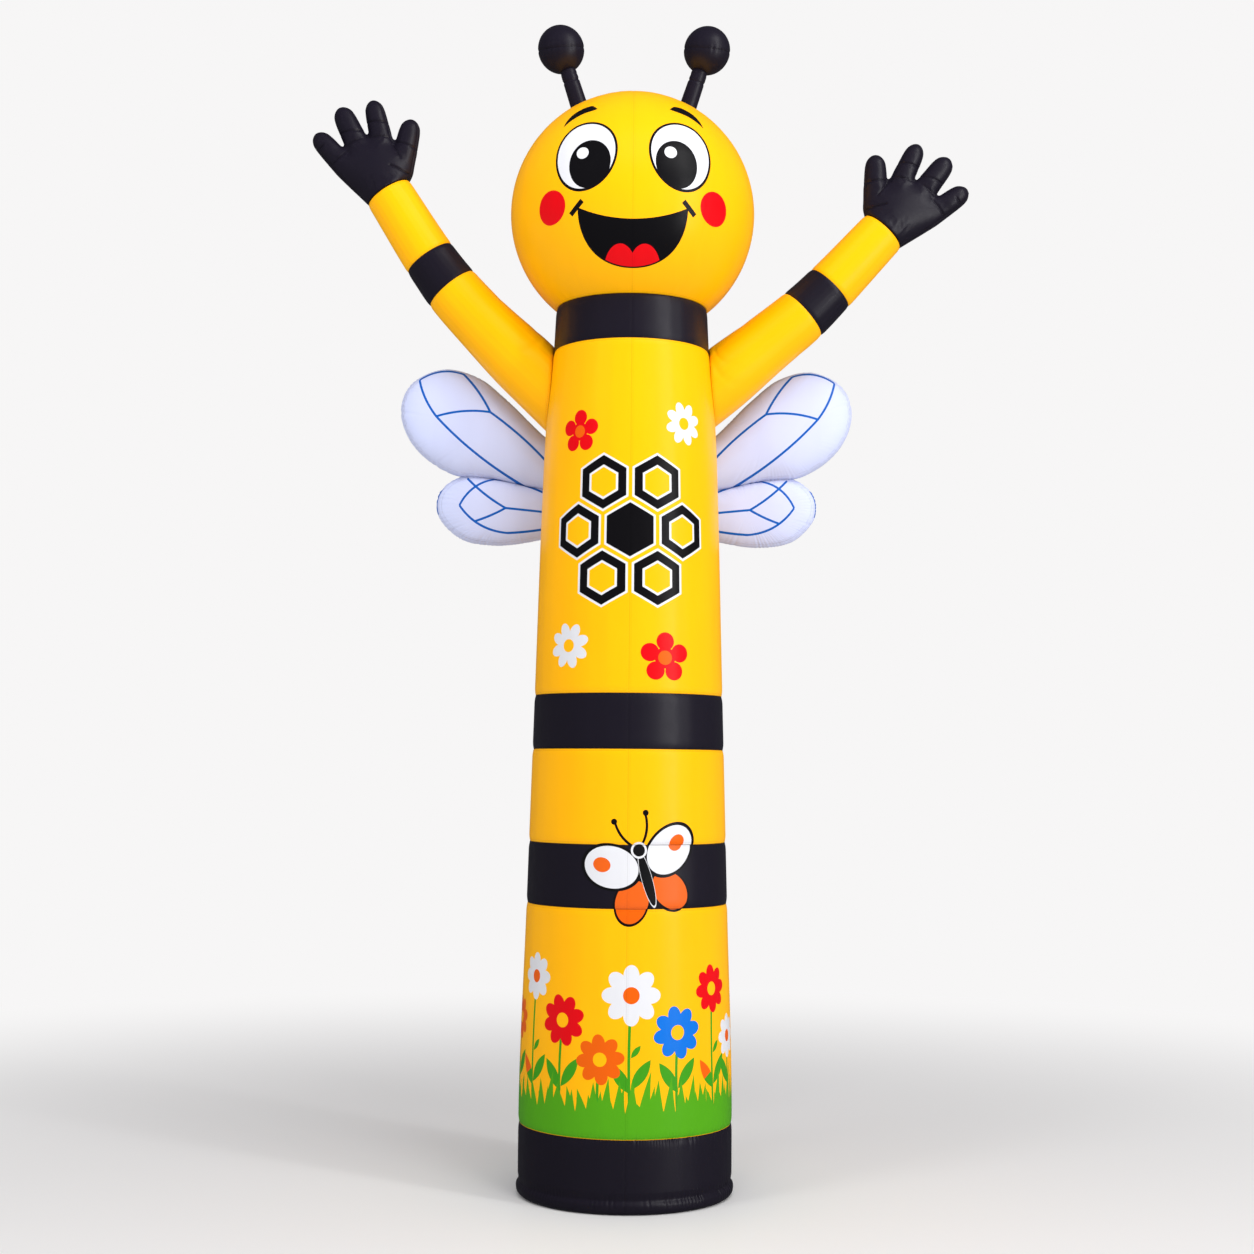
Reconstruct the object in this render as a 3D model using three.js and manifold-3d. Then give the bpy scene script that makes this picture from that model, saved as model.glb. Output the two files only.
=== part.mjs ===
// Inflatable bee column: a tapered cloth tube that air holds up, with a round head, two feelers,
// two raised arms with four-fingered hands, and two pairs of padded wings.
// Millimetres, +Z up. The origin is the middle of the base on the floor, and the bee faces -Y.
// Left and right are as seen from the front. Both sides are built towards +X, and the left one is mirrored.
import * as THREE from 'three';
import { mergeVertices } from 'three/addons/utils/BufferGeometryUtils.js';
import Module from 'manifold-3d';

const wasm = await Module();
wasm.setup();

// Seams: neighbouring panels stand a little apart, and each seam draws the cloth in
const seamGap = 0.3;
const seamDip = 2.5;
const seamReach = 18;
const smallSeamDip = 1.5;
const smallSeamReach = 10;

// Facets around the round pieces
const columnSides = 40;
const armSides = 20;
const fingerSides = 20;
const stalkSides = 14;
const ballSides = 20;
const wingSides = 36;

// Column: its outer radius at each height, above the hem
const columnRows = [
  { height: 0, radius: 215.5 },
  { height: 141, radius: 215.5 },
  { height: 578, radius: 204 },
  { height: 996, radius: 192.5 },
  { height: 1479, radius: 179 },
  { height: 1549, radius: 175.5 },
  { height: 1619, radius: 169 },
  { height: 1706, radius: 161.5 },
  { height: 1797, radius: 157 },
];

// Column panels from the floor up, each one a ring of cloth
const columnPanels = [
  { name: 'base_band', bottom: 0, top: 141, cloth: 'black' },
  { name: 'meadow_panel', bottom: 141, top: 578, cloth: 'yellow' },
  { name: 'lower_stripe', bottom: 578, top: 701, cloth: 'black' },
  { name: 'belly_panel', bottom: 701, top: 887, cloth: 'yellow' },
  { name: 'upper_stripe', bottom: 887, top: 996, cloth: 'black' },
  { name: 'chest_panel', bottom: 996, top: 1706, cloth: 'yellow' },
  { name: 'collar', bottom: 1706, top: 1797, cloth: 'black' },
];

// Hem of the base band: a flat foot, a lip that stands out, and the sewn groove above it
const hemRows = [
  { height: 0, radius: 208 },
  { height: 4, radius: 215 },
  { height: 11, radius: 218.5 },
  { height: 18, radius: 219 },
  { height: 23, radius: 217 },
  { height: 27, radius: 213.5 },
  { height: 42, radius: 215 },
];

// Head: a ball that is cut flat where the collar holds it
const headCentre = 1997;
const headRadius = 253.5;
const headArcSteps = 8;

// Feelers: a stalk that leans outwards from the top of the head, with a ball at its end
const feelerLean = THREE.MathUtils.degToRad(17.9);
const feelerRoot = { out: 115, height: 2235 };
const feelerBallDistance = 124;
const ballRadius = 48.5;
const ballHalfHeight = 50.5;
const stalkRootRadius = 18;
const stalkTopRadius = 16;
const stalkOverrun = 30;

// Arms: each follows its own line through these places, from inside the column to the wrist
const armDepth = 40;
const armPaths = {
  left: [
    { out: 111, height: 1582 },
    { out: 196, height: 1665 },
    { out: 309, height: 1775 },
    { out: 376, height: 1848 },
    { out: 425, height: 1914 },
    { out: 514, height: 2053 },
  ],
  right: [
    { out: 104, height: 1592 },
    { out: 194, height: 1665 },
    { out: 284, height: 1739 },
    { out: 359, height: 1802 },
    { out: 414, height: 1857 },
    { out: 526, height: 1979 },
  ],
};
const forearmLength = 164;
const armbandWidth = 80;
const armStep = 45;
const armRows = [
  { fromWrist: 0, radius: 51 },
  { fromWrist: 164, radius: 55.5 },
  { fromWrist: 244, radius: 59 },
  { fromWrist: 340, radius: 62 },
  { fromWrist: 480, radius: 69 },
  { fromWrist: 800, radius: 69 },
];

// Hands, in the wrist's own frame: along continues the forearm, and out points away from the head
const palm = { along: 52, halfLength: 48, halfWidth: 54, halfDepth: 40 };
const digits = [
  { along: 95, out: 48.3, lean: 11, length: 100, radius: 23.8 },
  { along: 97, out: 5, lean: -6, length: 119, radius: 24.8 },
  { along: 81, out: -37.5, lean: -19, length: 118, radius: 22.8 },
  { along: 27, out: -44.8, lean: -44, length: 118, radius: 24.4 },
];
const digitRows = [
  { fromTip: 0, share: 0.02 },
  { fromTip: 3, share: 0.39 },
  { fromTip: 9, share: 0.64 },
  { fromTip: 18, share: 0.84 },
  { fromTip: 34, share: 0.95 },
  { fromTip: 55, share: 1 },
  { fromTip: 80, share: 1.06 },
  { fromTip: 120, share: 1.12 },
];
const digitStub = 12;
const handTurn = { left: -0.4, right: 0.9 };

// Wings: outlines seen from the front, as places out from the column's middle line, and at which height
const wingReach = { left: 1.02, right: 0.98 };
const wings = [
  {
    name: 'upper_wing',
    depth: 121,
    halfDepth: 50,
    outline: [
      { out: 108, height: 1487 },
      { out: 186, height: 1558 },
      { out: 262, height: 1633 },
      { out: 322, height: 1679 },
      { out: 396, height: 1695 },
      { out: 462, height: 1661 },
      { out: 481, height: 1601 },
      { out: 453, height: 1529 },
      { out: 375, height: 1471 },
      { out: 286, height: 1459 },
      { out: 192, height: 1439 },
      { out: 108, height: 1427 },
    ],
  },
  {
    name: 'lower_wing',
    depth: 130,
    halfDepth: 38,
    outline: [
      { out: 108, height: 1424 },
      { out: 192, height: 1445 },
      { out: 286, height: 1464 },
      { out: 352, height: 1467 },
      { out: 398, height: 1433 },
      { out: 402, height: 1385 },
      { out: 356, height: 1334 },
      { out: 284, height: 1319 },
      { out: 190, height: 1331 },
      { out: 108, height: 1359 },
    ],
  },
];
const wingRings = 10;
const wingCrown = 0.8;

// Cloths: coated nylon with a soft sheen
const cloths = {
  yellow: { color: 0xffc400, roughness: 0.45, metalness: 0 },
  black: { color: 0x211f26, roughness: 0.42, metalness: 0 },
  white: { color: 0xe3e7f8, roughness: 0.5, metalness: 0 },
};

// Solids for joining and cutting

function solidOf(geometry) {
  const bare = geometry.clone();
  bare.deleteAttribute('normal');
  bare.deleteAttribute('uv');
  const merged = mergeVertices(bare, 1e-3);
  const vertProperties = new Float32Array(merged.attributes.position.array);
  const triVerts = new Uint32Array(merged.index.array);
  return new wasm.Manifold(new wasm.Mesh({ numProp: 3, vertProperties, triVerts }));
}

function geometryOf(solid) {
  const { vertProperties, triVerts } = solid.getMesh();
  const geometry = new THREE.BufferGeometry();
  geometry.setAttribute('position', new THREE.BufferAttribute(new Float32Array(vertProperties), 3));
  geometry.setIndex(new THREE.BufferAttribute(new Uint32Array(triVerts), 1));
  geometry.computeVertexNormals();
  return geometry;
}

// Shared shapes

// The value of one column of a table at a place in another, on straight lines between the rows.
function readTable(rows, placeKey, valueKey, place) {
  const next = rows.findIndex((row) => row[placeKey] >= place);
  if (next <= 0) return rows[next === 0 ? 0 : rows.length - 1][valueKey];
  const share = (place - rows[next - 1][placeKey]) / (rows[next][placeKey] - rows[next - 1][placeKey]);
  return THREE.MathUtils.lerp(rows[next - 1][valueKey], rows[next][valueKey], share);
}

function columnRadius(height) {
  return readTable(columnRows, 'height', 'radius', height);
}

// How far a seam draws the cloth in at a distance from it.
function drawnIn(distance, dip, reach) {
  const share = Math.max(0, 1 - distance / reach);
  return dip * share * share;
}

// A round piece about Z from an outline of radii and heights, closed on the axis at both ends.
function turned(outline, sides) {
  const first = outline[0];
  const last = outline[outline.length - 1];
  const closed = [new THREE.Vector2(0, first.y), ...outline, new THREE.Vector2(0, last.y)];
  return new THREE.LatheGeometry(closed, sides).rotateX(Math.PI / 2);
}

// Places along a piece: close together at the seams at its ends, and evenly spaced between them.
function seamSteps(start, end, reach, spacing) {
  const inner = Math.max(1, Math.round((end - start - 2 * reach) / spacing));
  const steps = [start, start + reach / 3];
  for (let i = 0; i <= inner; i++) {
    steps.push(THREE.MathUtils.lerp(start + reach, end - reach, i / inner));
  }
  return [...steps, end - reach / 3, end];
}

// Column and head

const columnStep = 120;

function panelGeometry({ bottom, top }) {
  const start = bottom === 0 ? hemRows[hemRows.length - 1].height : bottom + seamGap;
  const outline = seamSteps(start, top, seamReach, columnStep).map((height) => {
    const below = bottom === 0 ? 0 : drawnIn(height - start, seamDip, seamReach);
    const dip = below + drawnIn(top - height, seamDip, seamReach);
    return new THREE.Vector2(columnRadius(height) - dip, height);
  });
  const hem = hemRows.map(({ radius, height }) => new THREE.Vector2(radius, height));
  return turned(bottom === 0 ? [...hem, ...outline.slice(1)] : outline, columnSides);
}

function headGeometry(grow = 0) {
  const neck = columnPanels[columnPanels.length - 1].top + seamGap - grow;
  const radius = headRadius + grow;
  const neckAngle = Math.asin((neck - headCentre) / radius);
  const round = new THREE.Path().absarc(0, headCentre, radius, neckAngle, Math.PI / 2, false);
  return turned(round.getPoints(headArcSteps), columnSides);
}

// The column without its seams, a gap larger all round, to cut what is sewn to its sides.
function columnCutter() {
  const outline = columnRows.map(({ radius, height }) => new THREE.Vector2(radius + seamGap, height));
  return solidOf(turned(outline, columnSides));
}

// Feelers

function feelerPlace() {
  const turn = new THREE.Matrix4().makeRotationY(feelerLean);
  return turn.setPosition(feelerRoot.out, 0, feelerRoot.height);
}

function ballGeometry(grow = 0) {
  const ball = new THREE.SphereGeometry(1, ballSides, ballSides / 2).rotateX(Math.PI / 2);
  ball.scale(ballRadius + grow, ballRadius + grow, ballHalfHeight + grow);
  return ball.translate(0, 0, feelerBallDistance).applyMatrix4(feelerPlace());
}

function stalkGeometry() {
  const outline = [
    new THREE.Vector2(stalkRootRadius, -stalkOverrun),
    new THREE.Vector2(stalkTopRadius, feelerBallDistance),
  ];
  const stalk = solidOf(turned(outline, stalkSides).applyMatrix4(feelerPlace()));
  return geometryOf(stalk.subtract(solidOf(headGeometry(seamGap))).subtract(solidOf(ballGeometry(seamGap))));
}

// Arms

function armCurve(path) {
  return new THREE.CatmullRomCurve3(path.map(({ out, height }) => new THREE.Vector3(out, armDepth, height)));
}

// Turns the arm's own directions at a place along it: x lies across the arm, y goes back, z runs along it.
function armFrame(curve, share) {
  const along = curve.getTangentAt(share);
  const back = new THREE.Vector3(0, 1, 0);
  const across = new THREE.Vector3().crossVectors(back, along).normalize();
  const frame = new THREE.Matrix4().makeBasis(across, back, along);
  return frame.setPosition(curve.getPointAt(share));
}

// One sleeve of an arm, turned straight and then bent along the arm's line.
function sleeveGeometry(curve, start, end) {
  const length = curve.getLength();
  const outline = seamSteps(start, end, smallSeamReach, armStep).map((place) => {
    const seams = Math.min(place - start, end - place);
    const radius = readTable(armRows, 'fromWrist', 'radius', length - place);
    return new THREE.Vector2(radius - drawnIn(seams, smallSeamDip, smallSeamReach), place);
  });
  const sleeve = turned(outline, armSides);
  const places = sleeve.attributes.position;
  const point = new THREE.Vector3();
  for (let i = 0; i < places.count; i++) {
    point.fromBufferAttribute(places, i);
    const share = THREE.MathUtils.clamp(point.z / length, 0, 1);
    point.z = 0;
    point.applyMatrix4(armFrame(curve, share));
    places.setXYZ(i, point.x, point.y, point.z);
  }
  return sleeve;
}

// Hands

// A digit from its root to its tip, or only as far as an end before that.
function digitGeometry({ along, out, lean, length, radius }, end = length) {
  const rows = digitRows.map(({ fromTip }) => length - fromTip).filter((place) => place > 0 && place < end);
  const outline = [0, ...rows.reverse(), end].map(
    (place) => new THREE.Vector2(radius * readTable(digitRows, 'fromTip', 'share', length - place), place),
  );
  const digit = turned(outline, fingerSides);
  return digit.rotateY(THREE.MathUtils.degToRad(lean)).translate(out, 0, along);
}

// A hand turns a little on its wrist, by an angle of its own. It flattens out from the round wrist to the
// roots of its digits, and its palm is a little fuller than that.
function handGeometry(turn) {
  const wristRadius = armRows[0].radius;
  const wrist = solidOf(
    turned(
      [
        new THREE.Vector2(wristRadius - smallSeamDip, seamGap),
        new THREE.Vector2(wristRadius, smallSeamReach),
      ],
      armSides,
    ),
  );
  const placed = (geometry) => solidOf(geometry.rotateY(THREE.MathUtils.degToRad(turn)));
  const pad = new THREE.SphereGeometry(1, armSides, armSides / 2).rotateX(Math.PI / 2);
  let hand = placed(pad.scale(palm.halfWidth, palm.halfDepth, palm.halfLength).translate(0, 0, palm.along));
  const roots = digits.map((digit) => placed(digitGeometry(digit, digitStub)));
  for (let i = 0; i < digits.length; i++) {
    hand = hand.add(placed(digitGeometry(digits[i])));
    hand = hand.add(wasm.Manifold.hull([wrist, ...roots.slice(i, i + 2)]));
  }
  return geometryOf(hand);
}

// Wings

// A pillow: a ball whose round middle becomes the outline, and whose poles become its front and back.
function wingGeometry({ outline, depth, halfDepth }, reach, grow = 0) {
  const rim = new THREE.CatmullRomCurve3(
    outline.map(({ out, height }) => new THREE.Vector3(out * reach, 0, height)),
    true,
  );
  const middle = new THREE.Box3().setFromPoints(rim.getPoints(wingSides)).getCenter(new THREE.Vector3());
  const pillow = new THREE.SphereGeometry(1, wingSides, wingRings);
  const places = pillow.attributes.position;
  const point = new THREE.Vector3();
  for (let i = 0; i < places.count; i++) {
    point.fromBufferAttribute(places, i);
    const around = Math.round((Math.atan2(-point.z, point.x) / (2 * Math.PI) + 1) * wingSides) % wingSides;
    const spread = Math.hypot(point.x, point.z);
    const crown = Math.sign(point.y) * Math.abs(point.y) ** wingCrown * (halfDepth + grow);
    const edge = rim.getPointAt(around / wingSides);
    point.lerpVectors(middle, edge, spread * (1 + grow / edge.distanceTo(middle)));
    places.setXYZ(i, point.x, depth + crown, point.z);
  }
  return pillow;
}

// The whole bee

function piece(name, geometry, cloth) {
  const mesh = new THREE.Mesh(geometry, new THREE.MeshStandardMaterial(cloths[cloth]));
  mesh.name = name;
  return mesh;
}

function columnAndHead() {
  const group = new THREE.Group();
  for (const panel of columnPanels) {
    group.add(piece(panel.name, panelGeometry(panel), panel.cloth));
  }
  group.add(piece('head', headGeometry(), 'yellow'));
  return group;
}

function arm(side) {
  const group = new THREE.Group();
  const curve = armCurve(armPaths[side]);
  const wrist = curve.getLength();
  const bandTop = wrist - forearmLength;
  const bandBottom = bandTop - armbandWidth;
  const upper = solidOf(sleeveGeometry(curve, 0, bandBottom)).subtract(columnCutter());
  group.add(piece(`upper_arm_${side}`, geometryOf(upper), 'yellow'));
  group.add(piece(`armband_${side}`, sleeveGeometry(curve, bandBottom + seamGap, bandTop), 'black'));
  group.add(piece(`forearm_${side}`, sleeveGeometry(curve, bandTop + seamGap, wrist), 'yellow'));
  const hand = piece(`hand_${side}`, handGeometry(handTurn[side]), 'black');
  armFrame(curve, 1).decompose(hand.position, hand.quaternion, hand.scale);
  group.add(hand);
  return group;
}

function feeler(side) {
  const group = new THREE.Group();
  group.add(piece(`feeler_stalk_${side}`, stalkGeometry(), 'black'));
  group.add(piece(`feeler_ball_${side}`, ballGeometry(), 'black'));
  return group;
}

// The lower wing presses up against the upper one, and takes its shape there.
function wingPair(side) {
  const group = new THREE.Group();
  const reach = wingReach[side];
  const [upper, lower] = wings;
  const upperSolid = solidOf(wingGeometry(upper, reach)).subtract(columnCutter());
  const press = solidOf(wingGeometry(upper, reach, seamGap));
  const lowerSolid = solidOf(wingGeometry(lower, reach)).subtract(columnCutter()).subtract(press);
  group.add(piece(`${upper.name}_${side}`, geometryOf(upperSolid), 'white'));
  group.add(piece(`${lower.name}_${side}`, geometryOf(lowerSolid), 'white'));
  return group;
}

const bee = new THREE.Group();
bee.add(columnAndHead());
for (const side of ['left', 'right']) {
  const half = new THREE.Group();
  half.scale.x = side === 'left' ? -1 : 1;
  half.add(arm(side), feeler(side), wingPair(side));
  bee.add(half);
}

export default bee;
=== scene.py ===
# Inflatable bee column, dressed: a finer skin of sewn, printed cloth replaces every solid of the frame.
# Metres, +Z up, front towards -Y. Left and right are as seen from the front.
import math
from collections import namedtuple

import bpy
import numpy as np
from mathutils import Matrix, Vector


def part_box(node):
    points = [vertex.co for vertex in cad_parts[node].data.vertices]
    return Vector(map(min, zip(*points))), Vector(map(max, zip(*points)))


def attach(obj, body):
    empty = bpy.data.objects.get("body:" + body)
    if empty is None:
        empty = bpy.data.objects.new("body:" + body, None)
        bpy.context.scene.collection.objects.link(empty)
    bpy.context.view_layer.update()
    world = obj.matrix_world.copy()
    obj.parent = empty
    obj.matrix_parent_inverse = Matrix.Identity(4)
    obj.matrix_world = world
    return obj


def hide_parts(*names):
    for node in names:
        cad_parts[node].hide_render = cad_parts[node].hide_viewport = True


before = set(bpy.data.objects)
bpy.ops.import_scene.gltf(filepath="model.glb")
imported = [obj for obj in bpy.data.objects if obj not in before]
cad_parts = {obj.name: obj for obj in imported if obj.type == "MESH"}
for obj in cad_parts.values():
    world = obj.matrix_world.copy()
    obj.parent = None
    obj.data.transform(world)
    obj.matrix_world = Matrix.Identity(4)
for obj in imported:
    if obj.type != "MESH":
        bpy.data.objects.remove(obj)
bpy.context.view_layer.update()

# Seams: neighbouring panels stand a little apart, and each seam draws the cloth in
seam_gap = 0.0003
ring_seam = {"dip": 0.0022, "reach": 0.016}
upright_seam = {"dip": 0.0004, "reach": 0.006}
gore_seam = {"dip": 0.0003, "reach": 0.012}
sleeve_seam = {"dip": 0.0015, "reach": 0.010}
stalk_seam = {"dip": 0.0012, "reach": 0.006}
ball_seam = {"dip": 0.0010, "reach": 0.006}
# How strongly a seam shows: 1 for the column's rings
upright_strength = 0.35
side_gore_strength = 0.06
sleeve_strength = 0.8
thin_seam_strength = 0.6

# Puckers along a seam: waves that shift and swell them, so that they are uneven
pucker_waves = (2, 3, 5, 9, 14, 23, 37)
pucker_shift = (0.05, 0.16)
pucker_swell = 0.22
pucker_mean = 0.5
pucker_least = 0.08
# Ripples in taut cloth: waves round a piece, how far they slant, and each one's share
ripple_waves = (5, 8, 11, 15, 21, 27, 34)
ripple_slant = 1.2
ripple_shares = (0.4, 1)
ripple_scale = 8

# Rows of points on the column and head: close together near a seam, further apart away from it
row_crowding = 1.3
fine_row = 0.002
coarse_row = 0.016
fine_reach = 0.03
hem_coarse_row = 0.012
hem_row_count = 22

# Column wall: (height, radius)
column_wall_rows = [
    (0.000, 0.2155),
    (0.141, 0.2155),
    (0.578, 0.2040),
    (0.996, 0.1925),
    (1.479, 0.1790),
    (1.549, 0.1755),
    (1.619, 0.1690),
    (1.706, 0.1615),
    (1.797, 0.1570),
]
# The hem's lip at the floor: (height, radius)
hem_rows = [
    (0.000, 0.2080),
    (0.004, 0.2150),
    (0.011, 0.2185),
    (0.018, 0.2190),
    (0.023, 0.2170),
    (0.027, 0.2135),
    (0.042, 0.2152),
    (0.060, 0.2155),
]
hem_top = 0.042

# Column panels from the floor up: (node, columns of points around it, cloth)
column_panels = [
    ("base_band", 960, "black"),
    ("meadow_panel", 720, "yellow"),
    ("lower_stripe", 480, "black"),
    ("belly_panel", 480, "yellow"),
    ("upper_stripe", 480, "black"),
    ("chest_panel", 480, "yellow"),
    ("collar", 480, "black"),
]

# Seam puckers on the column: (height, how deep, how many, seed)
column_puckers = [
    (0.024, 0.0042, 116, 3),
    (0.141, 0.0032, 132, 4),
    (0.578, 0.0004, 120, 5),
    (0.701, 0.0004, 120, 6),
    (0.887, 0.0004, 118, 7),
    (0.996, 0.0004, 116, 8),
    (1.706, 0.0004, 96, 9),
    (1.797, 0.0006, 90, 10),
]
pucker_reach = 0.009
# The column's puckers are deepest on its right side and shallowest on its left
gather_mean = 0.45
gather_swing = 0.55
gather_turn = 0.2
gather_least = 0.12
column_ripple_depth = 0.0008
column_ripple_seed = 2

# Head: a ball of sewn gores. Its seams and ripples fade where the gores meet at the crown.
head_radius = 0.2535
head_middle = 1.997
gores = 10
crown_fade = 0.05
crown_rise = math.radians(89.6)
head_sides = 360
head_row_count = 82
neck_row_count = 20
neck_puckers = {"deep": 0.0012, "count": 84, "seed": 21, "reach": 0.014}
head_ripple_depth = 0.0006
head_ripple_seed = 22

# Feelers, built towards +X: each leans out from its root inside the head, and distances are from that root
feeler_place = Matrix.Translation((0.115, 0, 2.235)) @ Matrix.Rotation(math.radians(17.9), 4, "Y")
ball_distance = 0.124
ball_radius = 0.0485
ball_half_height = 0.0505
ball_tilt = Matrix.Rotation(math.radians(14), 3, "X") @ Matrix.Rotation(math.radians(-12), 3, "Y")
ball_pole = math.radians(89.5)
ball_sides = 120
ball_row_count = 61
ball_puckers = {"deep": 0.0018, "count": 26, "reach": 0.007}
ball_seeds = {"left": 31, "right": 32}
stalk_radii = (0.018, 0.016)
stalk_overrun = 0.03
stalk_sides = 72
stalk_row_count = 60
stalk_search_steps = 900
# Creases round the stalks: (distance from the root, how deep)
stalk_creases = [(0.053, 0.0014), (0.068, 0.0006)]
stalk_crease_width = 0.0022
stalk_crease_lean = 0.004
stalk_crease_turn = 90

# Arms: lines from inside the column to the wrist, as places out from the middle and heights
arm_depth = 0.040
arm_lines = {
    "left": [
        (0.111, 1.582), (0.196, 1.665), (0.309, 1.775), (0.376, 1.848), (0.425, 1.914), (0.514, 2.053),
    ],
    "right": [
        (0.104, 1.592), (0.194, 1.665), (0.284, 1.739), (0.359, 1.802), (0.414, 1.857), (0.526, 1.979),
    ],
}
line_step = 0.002
forearm_length = 0.164
armband_width = 0.080
# An arm's radius: (distance from the wrist, radius)
arm_radius_rows = [
    (0.000, 0.0510),
    (0.164, 0.0555),
    (0.244, 0.0590),
    (0.340, 0.0620),
    (0.480, 0.0690),
    (0.800, 0.0690),
]
sleeve_map_radius = 0.0590
# Creases on the sleeves: (from the wrist, facing, spread, width, depth), with angles in degrees.
# Facing is 0 on the lower side, 90 at the back, 180 on the side of the head and -90 at the front.
sleeve_creases = {
    "left": [
        (0.462, -125, 32, 0.007, 0.0020),
        (0.440, -150, 35, 0.009, 0.0012),
        (0.330, 175, 50, 0.014, 0.0007),
        (0.205, -20, 40, 0.012, 0.0005),
    ],
    "right": [
        (0.448, -120, 28, 0.004, 0.0014),
        (0.470, -95, 30, 0.007, 0.0014),
        (0.360, 180, 50, 0.014, 0.0007),
        (0.300, -10, 40, 0.012, 0.0005),
    ],
}
sleeve_crease_bend = 0.010
sleeve_ripple_depth = 0.0007
sleeve_ripple_stretch = 3
sleeve_pucker_depth = 0.0004
shoulder_pucker_depth = 0.0014
sleeve_puckers = {"count": 34, "reach": 0.010}
sleeve_sides = 128
sleeve_search_steps = 700
# Rows along a sleeve, as shares of its length
sleeve_rows = {"fine": 0.008, "coarse": 0.02, "reach": 0.12}

# Hands, in the wrist's own directions: out, back and along. A digit's lean is in degrees.
Digit = namedtuple("Digit", "along out lean length radius")
digits = [
    Digit(0.095, 0.0483, 11.0, 0.100, 0.0238),
    Digit(0.097, 0.0050, -6.0, 0.119, 0.0248),
    Digit(0.081, -0.0375, -19.0, 0.118, 0.0228),
    Digit(0.027, -0.0448, -44.0, 0.118, 0.0244),
]
# A digit's shape: (distance from the tip, share of its radius)
digit_rows = [
    (0.000, 0.02),
    (0.003, 0.39),
    (0.009, 0.64),
    (0.018, 0.84),
    (0.034, 0.95),
    (0.055, 1.00),
    (0.080, 1.06),
    (0.120, 1.12),
]
# Each hand's turn against its wrist, in degrees
hand_turn = {"left": -0.4, "right": 0.9}
# Rounding of the digits: from the web to just before the tip, for points this close to the round shape
web_reach = 0.024
web_fade = 0.020
tip_margin = 0.004
tip_fade = 0.010
rounding_reach = 0.14
rounding_fade = 0.08
# A digit's own skin, in shares of its radius from its middle line; past it is the palm
digit_reach = 1.5
digit_fade = 0.3
# Evening out a hand: the cuff's end stays as it is, and the palm's front and back are domed
hand_voxel = 0.0032
cuff_margin = 0.004
cuff_fade = 0.020
first_softening = 8
last_softening = 5
softening_share = 0.5
doming_steps = 200
palm_facing = 0.35
palm_facing_fade = 0.3
# Air in a hand: a cloth simulation with the cuff pinned and each point's move held to a limit
air_steps = 20
air_move_limit = 0.003
pinned_cuff = 0.008
air_cloth = {
    "quality": 5,
    "mass": 0.2,
    "use_pressure": True,
    "uniform_pressure_force": 4.0,
    "tension_stiffness": 25,
    "compression_stiffness": 25,
    "bending_stiffness": 0.5,
}
# The hand's front and back are sewn together a little in front of its outline
hand_rim_seam = -0.011
# Creases across the fingers: (finger, from its tip, facing, spread, slant), with angles in degrees.
# Facing is 0 at the front and grows towards the hand's outer side.
finger_creases = [
    (0, 0.037, 30, 28, 0.0),
    (0, 0.080, 0, 70, 0.0),
    (1, 0.065, 0, 80, -0.3),
    (1, 0.089, 15, 45, 0.0),
    (2, 0.055, 0, 80, -0.2),
    (2, 0.089, 5, 60, -0.2),
    (3, 0.063, 0, 85, -0.1),
]
finger_crease_reach = 1.8
# Creases on the palm, from and to (out, along), and how strong
palm_creases = [
    ((-0.057, 0.008), (-0.033, 0.040), 1.0),
    ((-0.062, 0.080), (-0.059, 0.045), 0.8),
]
least_crease = 0.02
crease_depth = 0.0026
crease_width = 0.0022

# Wings: their depth, half their thickness, and their outlines seen from the front as places out and heights
wings = {
    "upper_wing": (0.121, 0.050, [
        (0.108, 1.487), (0.186, 1.558), (0.262, 1.633), (0.322, 1.679), (0.396, 1.695), (0.462, 1.661),
        (0.481, 1.601), (0.453, 1.529), (0.375, 1.471), (0.286, 1.459), (0.192, 1.439), (0.108, 1.427),
    ]),
    "lower_wing": (0.130, 0.038, [
        (0.108, 1.424), (0.192, 1.445), (0.286, 1.464), (0.352, 1.467), (0.398, 1.433), (0.402, 1.385),
        (0.356, 1.334), (0.284, 1.319), (0.190, 1.331), (0.108, 1.359),
    ]),
}
# How far the wings of each side reach, against those outlines
wing_reach = {"left": 1.02, "right": 0.98}
wing_crown = 0.8
wing_sides = 360
wing_row_count = 51
wing_pole = math.radians(0.4)
# Puckers that gather a wing's rim: their spacing, their reach, and how far they draw it in and flatten it
rim_pucker_spacing = 0.009
rim_pucker_reach = 0.016
rim_pucker_depth = 0.0022
rim_dip = 0.0004
rim_flattening = 0.24
# The seam beside the rim is weaker near the column
wing_seam_inset = 0.018
inner_seam_strength = 0.3
outer_seam_start = 0.22
outer_seam_fade = 0.1
# A point's nearest place on the rim is looked for at every fourth point of it
rim_step = 4
# The stretch of the column's wall that the wings are cut against
cutter_heights = (1.2, 1.78)
cutter_sides = 360
cutter_row_count = 60
on_wall_margin = 0.0002

cloth_map = "cloth"
bake_map = "OFBake"
# Heights on the bake map: the wall's top, then the strips for a tube's foot and top end, and their tip
bake_wall_top = 0.95
bake_foot = 0.96
bake_top = 0.98
bake_tip = 0.99
# The share of the bake map for the front or the back of a flat-lying piece
bake_half = 0.48
sharp_edge = math.radians(60)
tiny = 1e-9


def dye(red, green, blue):
    """A cloth or ink colour from its screen values, 0 to 255."""
    shares = [value / 255 for value in (red, green, blue)]
    return tuple(s / 12.92 if s <= 0.04045 else ((s + 0.055) / 1.055) ** 2.4 for s in shares) + (1.0,)


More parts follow.
